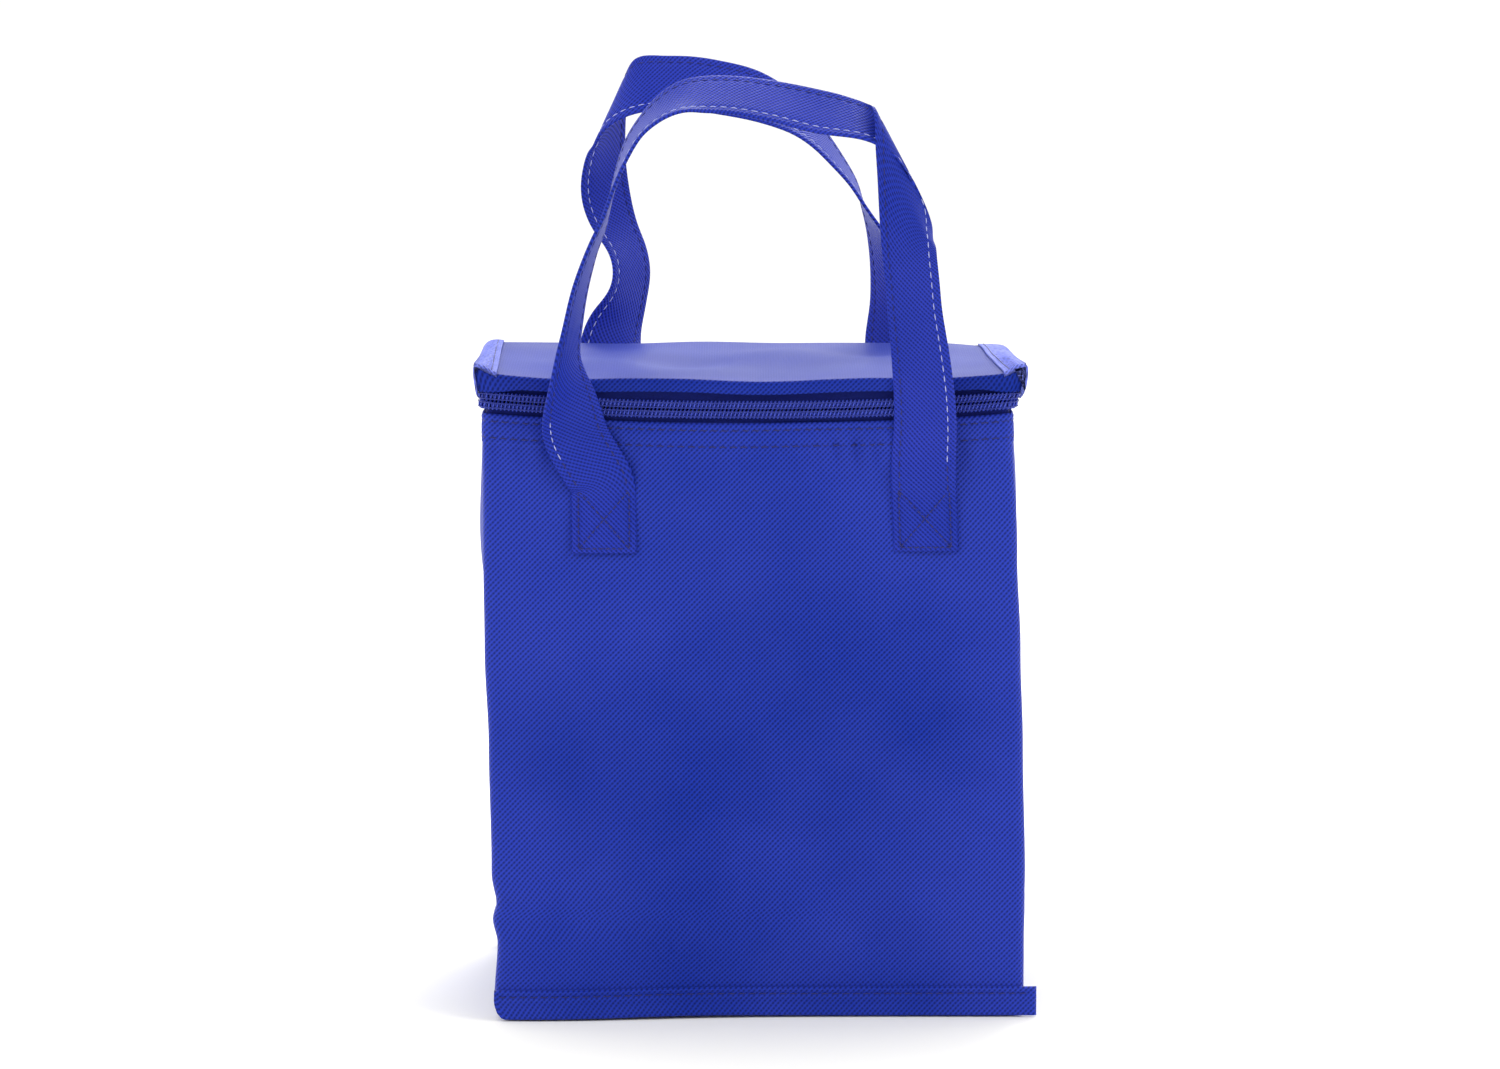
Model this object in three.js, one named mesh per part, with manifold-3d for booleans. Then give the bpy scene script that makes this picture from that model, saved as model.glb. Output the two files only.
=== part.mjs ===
// Insulated lunch cooler: a soft box of non-woven cloth over foam with a foil liner, a zipped
// lid hinged along the back edge, and two flat strap handles. Millimetres, +Z up, the origin at
// the middle of the underside, +X to the right and +Y to the back as the bag is seen from in front.
import * as THREE from 'three';
import { mergeVertices } from 'three/addons/utils/BufferGeometryUtils.js';
import Module from 'manifold-3d';

const wasm = await Module();
wasm.setup();

// ---- driving dimensions -------------------------------------------------------------------
const bodyWidth = 215;
const bodyDepth = 140;
const bodyHeight = 240;
const cornerRadius = 4;
const clothThickness = 1.0;
const foamThickness = 3.0;
const foilThickness = 0.5;
const liningDrop = 2;
const layerGap = 0.3;

const seamBandHeight = 11;
const seamBandThickness = 1.6;
const seamTab = 5;

const tapeThickness = 0.8;
const tapeHem = 12;
const coilHeight = 3.0;
const coilThickness = 2.2;
const coilProud = 1.2;
const coilLift = 1.6;
const coilSplit = 1.2;
const zipEndFromBack = 14;
const stopLength = 2.0;

const lidLift = 12.1;
const lidOverhang = 2;
const rimHeight = 4.3;
const rimThickness = 1.5;
const endBandWidth = 10;
const endBandThickness = 1.2;
const endBandCurl = 3;
const hingeStripThickness = 0.8;

const strapWidth = 26;
const strapThickness = 1.6;
const strapEndLength = 27;
const strapTopDrop = 27;
const threadThickness = 0.4;
const threadWidth = 0.8;
const boxStitchInset = 2.6;

const sliderLength = 9;
const sliderHeight = 7.8;
const sliderPlate = 1.2;
const sliderClearance = 0.4;
const sliderFromStop = 5;
const bridgeThickness = 0.6;
const crownRise = 1.9;
const crownBar = 0.8;
const pullThickness = 0.5;
const pullTabThickness = 1.2;
const pullLength = 22;

// ---- places worked out from them ----------------------------------------------------------
const halfWidth = bodyWidth / 2;
const halfDepth = bodyDepth / 2;
const foamInset = clothThickness + layerGap;
const foilInset = foamInset + foamThickness + layerGap;
const tapeInset = clothThickness + layerGap;
const foamFloor = clothThickness + layerGap;
const foilFloor = foamFloor + foamThickness + layerGap;
const wallFloor = foilFloor + foilThickness + layerGap;
const tapeFoot = bodyHeight - tapeHem;
const lowerCoilFoot = bodyHeight + coilLift;
const lowerCoilTop = lowerCoilFoot + coilHeight;
const upperCoilFoot = lowerCoilTop + coilSplit;
const upperCoilTop = upperCoilFoot + coilHeight;
const chainMiddle = (lowerCoilTop + upperCoilFoot) / 2;
const lidFloor = bodyHeight + lidLift;
const rimFoot = lidFloor + layerGap;
const rimTop = rimFoot + rimHeight;
const lidTop = rimTop + layerGap + clothThickness;
const zipEnd = halfDepth - zipEndFromBack;
const hingeInset = layerGap + hingeStripThickness;
const tapeEnd = halfDepth - cornerRadius;

const palette = {
  cloth: { color: 0x2a3aa0, roughness: 0.8, metalness: 0.0 },
  strap: { color: 0x2c389a, roughness: 0.75, metalness: 0.0 },
  foam: { color: 0xe9ebee, roughness: 0.9, metalness: 0.0 },
  foil: { color: 0xc9ccd1, roughness: 0.3, metalness: 0.9 },
  zip: { color: 0x1b2a78, roughness: 0.6, metalness: 0.0 },
  thread: { color: 0x141f66, roughness: 0.8, metalness: 0.0 },
  slider: { color: 0x1c2c86, roughness: 0.35, metalness: 0.6 },
};

const bag = new THREE.Group();

function addPiece(name, geometry, finish) {
  const material = new THREE.MeshStandardMaterial(palette[finish]);
  const mesh = new THREE.Mesh(geometry, material);
  mesh.name = name;
  bag.add(mesh);
  return mesh;
}

// A rectangular block between two opposite corners.
function block(low, high) {
  const geometry = new THREE.BoxGeometry(high[0] - low[0], high[1] - low[1], high[2] - low[2]);
  return geometry.translate((low[0] + high[0]) / 2, (low[1] + high[1]) / 2, (low[2] + high[2]) / 2);
}

// A plan outline carried upwards from one height to another.
function prism(outline, foot, top) {
  const geometry = new THREE.ExtrudeGeometry(new THREE.Shape(outline), { depth: top - foot, bevelEnabled: false });
  return geometry.translate(0, 0, foot);
}

// One corner of the plan: an arc that keeps the corner's centre as the layer moves inwards, or a
// plain point where the layer lies deeper than the radius. quarter 0 is the front right corner.
function cornerArc(inset, radius, quarter) {
  const steps = 6;
  const arc = Math.max(radius - inset, 0);
  const reach = Math.max(radius, inset);
  const signX = quarter === 0 || quarter === 1 ? 1 : -1;
  const signY = quarter === 1 || quarter === 2 ? 1 : -1;
  const centre = new THREE.Vector2(signX * (halfWidth - reach), signY * (halfDepth - reach));
  if (arc < 0.05) {
    return [centre];
  }
  const start = -Math.PI / 2 + (quarter * Math.PI) / 2;
  const points = [];
  for (let step = 0; step <= steps; step += 1) {
    const angle = start + ((Math.PI / 2) * step) / steps;
    points.push(new THREE.Vector2(centre.x + arc * Math.cos(angle), centre.y + arc * Math.sin(angle)));
  }
  return points;
}

// The whole plan outline at an inset, anticlockwise.
function planOutline(inset, radius) {
  return [0, 1, 2, 3].flatMap((quarter) => cornerArc(inset, radius, quarter));
}

// A front or back panel that wraps both corners: outer face at one inset, inner face at another.
function wrappedPanel(outerInset, innerFaceInset, side) {
  const outer = [...cornerArc(outerInset, cornerRadius, 3), ...cornerArc(outerInset, cornerRadius, 0)];
  const inner = [...cornerArc(innerFaceInset, cornerRadius, 3), ...cornerArc(innerFaceInset, cornerRadius, 0)];
  const outline = [...outer, ...inner.reverse()];
  return side < 0 ? outline : outline.map((point) => new THREE.Vector2(-point.x, -point.y)).reverse();
}

// A U-shaped band round the left side, the front and the right side, ending short of the back.
function zipBand(outerInset, innerFaceInset, end) {
  const radius = cornerRadius + coilThickness;
  const rail = (inset) => [
    new THREE.Vector2(-(halfWidth - inset), end),
    ...cornerArc(inset, radius, 3),
    ...cornerArc(inset, radius, 0),
    new THREE.Vector2(halfWidth - inset, end),
  ];
  return [...rail(outerInset), ...rail(innerFaceInset).reverse()];
}

// ---- walls and floor: cloth outside, foam in the middle, foil inside ------------------------
const clothLayer = { inset: 0, thickness: clothThickness, foot: foamFloor, top: bodyHeight };
const foamLayer = { inset: foamInset, thickness: foamThickness, foot: foilFloor, top: tapeFoot - layerGap };
const foilLayer = { inset: foilInset, thickness: foilThickness, foot: wallFloor, top: bodyHeight - liningDrop };
const wallLayers = [
  { label: 'panel', finish: 'cloth', ...clothLayer },
  { label: 'insulation', finish: 'foam', ...foamLayer },
  { label: 'lining', finish: 'foil', ...foilLayer },
];

for (const layer of wallLayers) {
  const deep = layer.inset + layer.thickness;
  for (const [name, side] of [['front', -1], ['back', 1]]) {
    const isCloth = layer.label === 'panel';
    const outline = isCloth
      ? wrappedPanel(0, deep, side)
      : [...cornerArc(layer.inset, cornerRadius, 3), ...cornerArc(layer.inset, cornerRadius, 0)]
        .concat([
          new THREE.Vector2(halfWidth - layer.inset, -(halfDepth - deep)),
          new THREE.Vector2(-(halfWidth - layer.inset), -(halfDepth - deep)),
        ])
        .map((point) => new THREE.Vector2(-side * point.x, -side * point.y));
    addPiece(`${name}_${layer.label}`, prism(outline, layer.foot, layer.top), layer.finish);
  }
  const reach = layer.label === 'panel' ? halfDepth - cornerRadius : halfDepth - deep;
  for (const [name, side] of [['left', -1], ['right', 1]]) {
    const outer = side * (halfWidth - layer.inset);
    const inner = side * (halfWidth - deep);
    const low = [Math.min(outer, inner), -(reach - layerGap), layer.foot];
    const high = [Math.max(outer, inner), reach - layerGap, layer.top];
    addPiece(`side_${layer.label}_${name}`, block(low, high), layer.finish);
  }
}

const floorSlab = (inset, foot, thickness) => prism(planOutline(inset, cornerRadius), foot, foot + thickness);
addPiece('base_panel', floorSlab(0, 0, clothThickness), 'cloth');
addPiece('base_insulation', floorSlab(foamInset, foamFloor, foamThickness), 'foam');
addPiece('base_lining', floorSlab(foilInset, foilFloor, foilThickness), 'foil');

// ---- the folded seam allowance along the front and back bottom edges ------------------------
for (const [name, side] of [['front', -1], ['back', 1]]) {
  const near = side * (halfDepth + layerGap);
  const far = side * (halfDepth + layerGap + seamBandThickness);
  const left = name === 'front' ? -halfWidth : -halfWidth - seamTab;
  const right = name === 'front' ? halfWidth + seamTab : halfWidth;
  const low = [left, Math.min(near, far), layerGap];
  const high = [right, Math.max(near, far), layerGap + seamBandHeight];
  addPiece(`base_seam_band_${name}`, block(low, high), 'cloth');
}

// ---- coil zip: the lower half stands on the body, the upper half hangs from the lid ----------
const zipHalves = [
  { label: 'lower', tape: [tapeFoot, lowerCoilTop], coil: [lowerCoilFoot, lowerCoilTop] },
  { label: 'upper', tape: [upperCoilFoot, rimTop - layerGap], coil: [upperCoilFoot, upperCoilTop] },
];
const coilInner = tapeInset - layerGap;
for (const half of zipHalves) {
  const tape = zipBand(tapeInset, tapeInset + tapeThickness, tapeEnd);
  addPiece(`zip_tape_${half.label}`, prism(tape, ...half.tape), 'zip');
  addPiece(`zip_coil_${half.label}`, prism(zipBand(-coilProud, coilInner, zipEnd), ...half.coil), 'zip');
  for (const [name, side] of [['left', -1], ['right', 1]]) {
    const outer = side * (halfWidth + coilProud);
    const inner = side * (halfWidth - coilInner);
    const low = [Math.min(outer, inner), zipEnd + layerGap, half.coil[0]];
    const high = [Math.max(outer, inner), zipEnd + layerGap + stopLength, half.coil[1]];
    addPiece(`zip_stop_${half.label}_${name}`, block(low, high), 'zip');
  }
}

// ---- lid: cloth on foam on foil, a rim round three sides and a folded band at each end --------
const lidHalfWidth = halfWidth + lidOverhang;
const lidFront = -(halfDepth + lidOverhang);
const lidBack = halfDepth + hingeStripThickness;
const linerEdge = tapeInset + tapeThickness + layerGap + 1;
const linerLow = (floor) => [-(halfWidth - linerEdge), -(halfDepth - linerEdge), floor];
const linerHigh = (top) => [halfWidth - linerEdge, halfDepth - linerEdge, top];
const lidFoilFloor = rimFoot + layerGap;
const lidFoamFloor = lidFoilFloor + foilThickness + layerGap;

const panelLow = [-lidHalfWidth, lidFront, rimTop + layerGap];
addPiece('lid_panel', block(panelLow, [lidHalfWidth, lidBack, lidTop]), 'cloth');
addPiece('lid_insulation', block(linerLow(lidFoamFloor), linerHigh(rimTop)), 'foam');
addPiece('lid_lining', block(linerLow(lidFoilFloor), linerHigh(lidFoilFloor + foilThickness)), 'foil');

const rimInner = lidHalfWidth - rimThickness;
const rimOutline = [
  [-lidHalfWidth, lidBack],
  [-lidHalfWidth, lidFront],
  [lidHalfWidth, lidFront],
  [lidHalfWidth, lidBack],
  [rimInner, lidBack],
  [rimInner, lidFront + rimThickness],
  [-rimInner, lidFront + rimThickness],
  [-rimInner, lidBack],
].map(([x, y]) => new THREE.Vector2(x, y));
addPiece('lid_rim', prism(rimOutline, rimFoot, rimTop), 'cloth');

// The end band lies on the lid and turns down over its edge in a soft curl; section in x and z.
function endBandSection() {
  const steps = 6;
  const flat = lidTop + layerGap;
  const bend = endBandCurl + endBandThickness;
  const centreX = lidHalfWidth + layerGap;
  const inner = lidHalfWidth - endBandWidth;
  const centreZ = flat - endBandCurl;
  const arc = (radius) => Array.from({ length: steps + 1 }, (_, step) => {
    const angle = Math.PI / 2 - ((Math.PI / 2) * step) / steps;
    return new THREE.Vector2(centreX + radius * Math.cos(angle), centreZ + radius * Math.sin(angle));
  });
  const outer = [new THREE.Vector2(inner, flat + endBandThickness), ...arc(bend)];
  const under = [...arc(endBandCurl).reverse(), new THREE.Vector2(inner, flat)];
  const foot = [new THREE.Vector2(centreX + bend, rimFoot), new THREE.Vector2(centreX + endBandCurl, rimFoot)];
  return [...outer, ...foot, ...under].reverse();
}

for (const [name, side] of [['left', -1], ['right', 1]]) {
  const section = endBandSection().map((point) => new THREE.Vector2(side * point.x, point.y));
  const length = lidBack - lidFront;
  const band = new THREE.ExtrudeGeometry(new THREE.Shape(section), { depth: length, bevelEnabled: false });
  band.rotateX(Math.PI / 2).translate(0, lidBack, 0);
  addPiece(`lid_end_band_${name}`, band, 'cloth');
}

// The cloth hinge closes the back between the body's top edge and the lid.
const hingeEnd = halfWidth - cornerRadius;
const hingeLow = [-hingeEnd, halfDepth - hingeInset, bodyHeight + layerGap];
addPiece('hinge_strip', block(hingeLow, [hingeEnd, halfDepth, lidFloor - layerGap]), 'cloth');

// ---- handles --------------------------------------------------------------------------------
// Each handle is one flat strap. A station gives its place across the bag, how far its edge nearest
// the bag stands out from the plane of its panel, its height above the sewn ends, and the direction
// across its width; the strap turns edge-on up the legs and lies over in the arch.
const strapPlane = halfDepth + layerGap + strapThickness / 2;
const strapFoot = bodyHeight - strapTopDrop;
const frontLegs = { left: -59.5, right: 70.5 };
const backLegs = { left: -60, right: 65.5 };

const frontStations = [
  { x: -59.5, out: 0, up: 0.3, across: [-1, 0, 0] },
  { x: -60.3, out: 0.3, up: 8, across: [-1, 0.02, -0.05] },
  { x: -69, out: 3.8, up: 23, across: [-0.94, 0.25, -0.24] },
  { x: -73.6, out: 4.2, up: 43, across: [-0.6, 0.79, -0.1] },
  { x: -71.6, out: 2.7, up: 68, across: [-0.29, 0.95, 0.05] },
  { x: -65.5, out: -5.7, up: 97, across: [-0.15, 0.98, 0.05] },
  { x: -56, out: -15.5, up: 121, across: [0.04, 1, 0.04] },
  { x: -44.5, out: -24, up: 143.5, across: [0.22, 0.96, 0] },
  { x: -25, out: -28.4, up: 157.6, across: [0.04, 0.88, -0.46] },
  { x: 8.5, out: -30.7, up: 155.6, across: [0, 0.82, -0.57] },
  { x: 38, out: -29.2, up: 148.6, across: [0, 0.86, -0.5] },
  { x: 52, out: -24.4, up: 142.5, across: [0.3, 0.88, -0.35] },
  { x: 59.5, out: -16.7, up: 122, across: [0.56, 0.82, 0] },
  { x: 64.5, out: -5, up: 92, across: [0.72, 0.69, 0.1] },
  { x: 68.5, out: 2.3, up: 55, across: [0.87, 0.48, 0.1] },
  { x: 70, out: 1.4, up: 22, across: [0.97, 0.2, 0.05] },
  { x: 70.4, out: 0.3, up: 8, across: [1, 0.02, 0] },
  { x: 70.5, out: 0, up: 0.3, across: [1, 0, 0] },
];

const backStations = [
  { x: -60, out: 0, up: 0.3, across: [-1, 0, 0] },
  { x: -59.5, out: 2.8, up: 22, across: [-0.97, -0.25, 0] },
  { x: -58.5, out: 8, up: 44, across: [-0.84, -0.54, 0.05] },
  { x: -51, out: 13.1, up: 70, across: [-0.6, -0.8, 0.08] },
  { x: -56.5, out: 20.2, up: 92, across: [-0.73, -0.68, 0.07] },
  { x: -62, out: 19.2, up: 112, across: [-0.77, -0.64, 0] },
  { x: -60, out: 12.8, up: 128, across: [-0.5, -0.86, -0.1] },
  { x: -56, out: 14.8, up: 145, across: [-0.37, -0.4, -0.84] },
  { x: -40, out: 9, up: 152, across: [-0.05, -0.5, -0.86] },
  { x: -13, out: 9, up: 151.6, across: [0, -0.54, -0.84] },
  { x: 14, out: 9.4, up: 144, across: [0, -0.74, -0.67] },
  { x: 33.5, out: 8.4, up: 125, across: [-0.1, -0.97, -0.15] },
  { x: 46.5, out: 8, up: 102.5, across: [0, -1, 0] },
  { x: 57, out: 9.7, up: 79, across: [0.5, -0.87, 0] },
  { x: 61.5, out: 8, up: 44, across: [0.86, -0.5, 0] },
  { x: 64.5, out: 2.8, up: 22, across: [0.97, -0.25, 0] },
  { x: 65.5, out: 0, up: 0.3, across: [1, 0, 0] },
];

// A flat ribbon: smooth curves through the stations for its middle and for its width direction,
// with a rectangular section squared up to the path at each of many even steps.
function ribbon(stations, side) {
  const middleOut = (s) => strapPlane + s.out + (Math.abs(s.across[1]) * strapWidth) / 2;
  const places = stations.map((s) => new THREE.Vector3(s.x, side * middleOut(s), strapFoot + s.up));
  const flip = side < 0 ? -1 : 1;
  const widths = stations.map(({ across }) => new THREE.Vector3(across[0], flip * across[1], across[2]));
  const path = new THREE.CatmullRomCurve3(places, false, 'centripetal');
  const turn = new THREE.CatmullRomCurve3(widths, false, 'centripetal');
  const steps = 64;
  const corners = [];
  for (let step = 0; step <= steps; step += 1) {
    const t = step / steps;
    const along = step === 0 || step === steps ? new THREE.Vector3(0, 0, step === 0 ? 1 : -1) : path.getTangent(t);
    const across = turn.getPoint(t);
    across.addScaledVector(along, -across.dot(along)).normalize();
    const normal = new THREE.Vector3().crossVectors(along, across);
    const middle = path.getPoint(t);
    for (const [u, v] of [[-1, -1], [1, -1], [1, 1], [-1, 1]]) {
      const corner = middle.clone();
      corner.addScaledVector(across, (u * strapWidth) / 2);
      corner.addScaledVector(normal, (v * strapThickness) / 2);
      corners.push(corner.x, corner.y, corner.z);
    }
  }
  const faces = [0, 2, 1, 0, 3, 2];
  for (let step = 0; step < steps; step += 1) {
    for (let edge = 0; edge < 4; edge += 1) {
      const a = step * 4 + edge;
      const b = step * 4 + ((edge + 1) % 4);
      faces.push(a, b, b + 4, a, b + 4, a + 4);
    }
  }
  const last = steps * 4;
  faces.push(last, last + 1, last + 2, last, last + 2, last + 3);
  const geometry = new THREE.BufferGeometry();
  geometry.setAttribute('position', new THREE.Float32BufferAttribute(corners, 3));
  geometry.setIndex(faces);
  return geometry;
}

addPiece('front_strap', ribbon(frontStations, -1), 'strap');
addPiece('back_strap', ribbon(backStations, 1), 'strap');

// ---- solids joined or cut with manifold-3d ---------------------------------------------------
function toSolid(geometry) {
  const plain = geometry.clone();
  plain.deleteAttribute('normal');
  plain.deleteAttribute('uv');
  const merged = mergeVertices(plain, 1e-4);
  const vertProperties = new Float32Array(merged.attributes.position.array);
  const triVerts = new Uint32Array(merged.index.array);
  return new wasm.Manifold(new wasm.Mesh({ numProp: 3, vertProperties, triVerts }));
}

function toGeometry(solid) {
  const { vertProperties, triVerts } = solid.getMesh();
  const geometry = new THREE.BufferGeometry();
  geometry.setAttribute('position', new THREE.Float32BufferAttribute(vertProperties, 3));
  geometry.setIndex(Array.from(triVerts));
  return geometry;
}

function join(geometries) {
  return toGeometry(geometries.map(toSolid).reduce((sum, next) => sum.add(next)));
}

// The sewn end of a strap lies flat on its panel, held by a square of thread with a cross in it.
// The square is made once about its own middle; the cross stops just inside the corners.
const stitchHalfWidth = strapWidth / 2 - boxStitchInset;
const stitchHalfHeight = strapEndLength / 2 - boxStitchInset;
const threadRow = (length, angle, x, z) => new THREE.BoxGeometry(length, threadThickness, threadWidth)
  .rotateY(-angle)
  .translate(x, 0, z);
const diagonal = Math.hypot(stitchHalfWidth, stitchHalfHeight) * 2 - 3 * threadWidth;
const slope = Math.atan2(stitchHalfHeight, stitchHalfWidth);
const boxStitch = join([
  threadRow(stitchHalfWidth * 2, 0, 0, stitchHalfHeight - threadWidth / 2),
  threadRow(stitchHalfWidth * 2, 0, 0, -stitchHalfHeight + threadWidth / 2),
  threadRow(stitchHalfHeight * 2, Math.PI / 2, stitchHalfWidth - threadWidth / 2, 0),
  threadRow(stitchHalfHeight * 2, Math.PI / 2, -stitchHalfWidth + threadWidth / 2, 0),
  threadRow(diagonal, slope, 0, 0),
  threadRow(diagonal, -slope, 0, 0),
]);
const stitchFace = strapPlane + strapThickness / 2 + layerGap + threadThickness / 2;
const stitchMiddle = strapFoot - strapEndLength / 2;

for (const [name, side, legs] of [['front', -1, frontLegs], ['back', 1, backLegs]]) {
  const near = side * (halfDepth + layerGap);
  const far = side * (halfDepth + layerGap + strapThickness);
  for (const leg of ['left', 'right']) {
    const x = legs[leg];
    const low = [x - strapWidth / 2, Math.min(near, far), strapFoot - strapEndLength];
    const high = [x + strapWidth / 2, Math.max(near, far), strapFoot];
    addPiece(`strap_end_${name}_${leg}`, block(low, high), 'strap');
    const stitch = addPiece(`box_stitch_${name}_${leg}`, boxStitch.clone(), 'thread');
    stitch.position.set(x, side * stitchFace, stitchMiddle);
  }
}

// ---- slider and pull on the right side ---------------------------------------------------------
const sliderY = zipEnd - sliderFromStop;
const outerPlate = halfWidth + coilProud + sliderClearance;
const outerFace = outerPlate + sliderPlate;
const innerFace = halfWidth - tapeInset - tapeThickness - sliderClearance;
const crownTop = outerFace + crownRise;
const sliderLow = chainMiddle - sliderHeight / 2;
const sliderHigh = chainMiddle + sliderHeight / 2;
const postY = 3.2;
const bridgeStart = 1;
const bridgeEnd = 4;
const crownHalfHeight = 0.8;
const pivotX = outerFace + (crownRise - crownBar) / 2;

const plate = (low, high) => block(
  [low, sliderY - sliderLength / 2, sliderLow],
  [high, sliderY + sliderLength / 2, sliderHigh],
);
addPiece('zip_slider', join([
  plate(outerPlate, outerFace),
  plate(innerFace - sliderPlate, innerFace),
  block(
    [innerFace - sliderPlate / 2, sliderY + bridgeStart, chainMiddle - bridgeThickness / 2],
    [outerPlate + sliderPlate / 2, sliderY + bridgeEnd, chainMiddle + bridgeThickness / 2],
  ),
  block(
    [outerFace - sliderPlate / 2, sliderY - postY, chainMiddle - crownHalfHeight],
    [crownTop, sliderY - postY + crownBar, chainMiddle + crownHalfHeight],
  ),
  block(
    [outerFace - sliderPlate / 2, sliderY + postY - crownBar, chainMiddle - crownHalfHeight],
    [crownTop, sliderY + postY, chainMiddle + crownHalfHeight],
  ),
  block(
    [crownTop - crownBar, sliderY - postY, chainMiddle - crownHalfHeight],
    [crownTop, sliderY + postY, chainMiddle + crownHalfHeight],
  ),
]), 'slider');

// The pull's eye passes under the crown; the tab lies along the chain towards the front.
const eyeInner = 1.2;
const eyeOuter = 2.2;
const eyeLength = 5;
const tabHalfHeight = 2.8;
const pullSide = (low, high) => block(
  [pivotX - pullThickness / 2, sliderY - eyeLength - 1, chainMiddle + low],
  [pivotX + pullThickness / 2, sliderY + pullThickness / 2, chainMiddle + high],
);
addPiece('zip_pull', join([
  pullSide(eyeInner, eyeOuter),
  pullSide(-eyeOuter, -eyeInner),
  block(
    [pivotX - pullThickness / 2, sliderY - pullThickness / 2, chainMiddle - eyeOuter],
    [pivotX + pullThickness / 2, sliderY + pullThickness / 2, chainMiddle + eyeOuter],
  ),
  block(
    [pivotX - pullTabThickness / 2, sliderY - pullLength, chainMiddle - tabHalfHeight],
    [pivotX + pullTabThickness / 2, sliderY - eyeLength, chainMiddle + tabHalfHeight],
  ),
]), 'slider');

export default bag;
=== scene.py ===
from math import pi, radians

import bpy
import numpy as np
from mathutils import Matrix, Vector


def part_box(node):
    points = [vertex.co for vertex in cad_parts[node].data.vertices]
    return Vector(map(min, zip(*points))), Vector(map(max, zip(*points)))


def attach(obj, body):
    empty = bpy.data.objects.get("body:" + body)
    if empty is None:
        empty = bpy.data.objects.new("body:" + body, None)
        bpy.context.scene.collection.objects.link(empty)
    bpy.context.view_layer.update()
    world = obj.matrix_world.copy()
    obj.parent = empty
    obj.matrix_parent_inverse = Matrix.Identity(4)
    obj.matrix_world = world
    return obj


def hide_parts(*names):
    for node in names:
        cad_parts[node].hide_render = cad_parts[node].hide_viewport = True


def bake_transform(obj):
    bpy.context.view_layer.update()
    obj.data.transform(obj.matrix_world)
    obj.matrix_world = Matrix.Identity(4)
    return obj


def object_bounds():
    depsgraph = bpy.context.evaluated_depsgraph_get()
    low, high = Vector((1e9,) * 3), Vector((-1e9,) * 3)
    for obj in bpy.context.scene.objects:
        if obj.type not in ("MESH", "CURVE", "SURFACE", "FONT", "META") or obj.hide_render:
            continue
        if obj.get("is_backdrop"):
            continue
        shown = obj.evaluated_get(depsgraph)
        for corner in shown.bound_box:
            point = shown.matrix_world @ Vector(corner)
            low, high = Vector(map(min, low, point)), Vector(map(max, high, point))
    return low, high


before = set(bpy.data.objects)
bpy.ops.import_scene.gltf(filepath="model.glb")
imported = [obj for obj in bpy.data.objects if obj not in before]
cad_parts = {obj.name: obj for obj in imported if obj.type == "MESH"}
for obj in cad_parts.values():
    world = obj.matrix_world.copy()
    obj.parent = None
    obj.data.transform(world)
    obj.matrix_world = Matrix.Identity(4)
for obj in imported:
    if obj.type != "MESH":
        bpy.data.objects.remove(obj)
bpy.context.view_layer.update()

# ---- Camera, floor and light -------------------------------------------------------------
# The bag stands alone on a pale sweep. A long lens looks slightly down on its front, under a
# broad overhead panel, two side panels and one behind.
CAMERA_PLACE = (0.0, -2.606, 0.535)
CAMERA_TILT = radians(90 - 7.64)
LENS, SENSOR = 152.95, 36.0
FLOOR_SIZE = 30.0

camera_data = bpy.data.cameras.new("camera")
camera_data.lens = LENS
camera_data.sensor_width = SENSOR
camera_data.clip_end = 60
camera = bpy.data.objects.new("camera", camera_data)
camera.location = CAMERA_PLACE
camera.rotation_euler = (CAMERA_TILT, 0, 0)
bpy.context.scene.collection.objects.link(camera)
bpy.context.scene.camera = camera
bpy.context.scene.view_settings.view_transform = "Standard"

world = bpy.data.worlds.new("studio")
bpy.context.scene.world = world
world.use_nodes = True
# The room is white, brighter behind the bag than before it; the sweep itself is seen as white.
sky = world.node_tree
sky_way = sky.nodes.new("ShaderNodeTexCoord")
sky_parts = sky.nodes.new("ShaderNodeSeparateXYZ")
sky_level = sky.nodes.new("ShaderNodeMapRange")
sky_level.inputs["From Min"].default_value = -1.0
sky_level.inputs["To Min"].default_value = 0.58
sky_level.inputs["To Max"].default_value = 1.6
sky_seen = sky.nodes.new("ShaderNodeLightPath")
sky_pick = sky.nodes.new("ShaderNodeMix")
sky_pick.inputs["B"].default_value = 1.0
sky.links.new(sky_way.outputs["Generated"], sky_parts.inputs[0])
sky.links.new(sky_parts.outputs["Y"], sky_level.inputs["Value"])
sky.links.new(sky_seen.outputs["Is Camera Ray"], sky_pick.inputs["Factor"])
sky.links.new(sky_level.outputs[0], sky_pick.inputs["A"])
sky.links.new(sky_pick.outputs["Result"], sky.nodes["Background"].inputs["Strength"])
sky.nodes["Background"].inputs["Color"].default_value = (1.0, 1.0, 1.0, 1)

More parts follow.
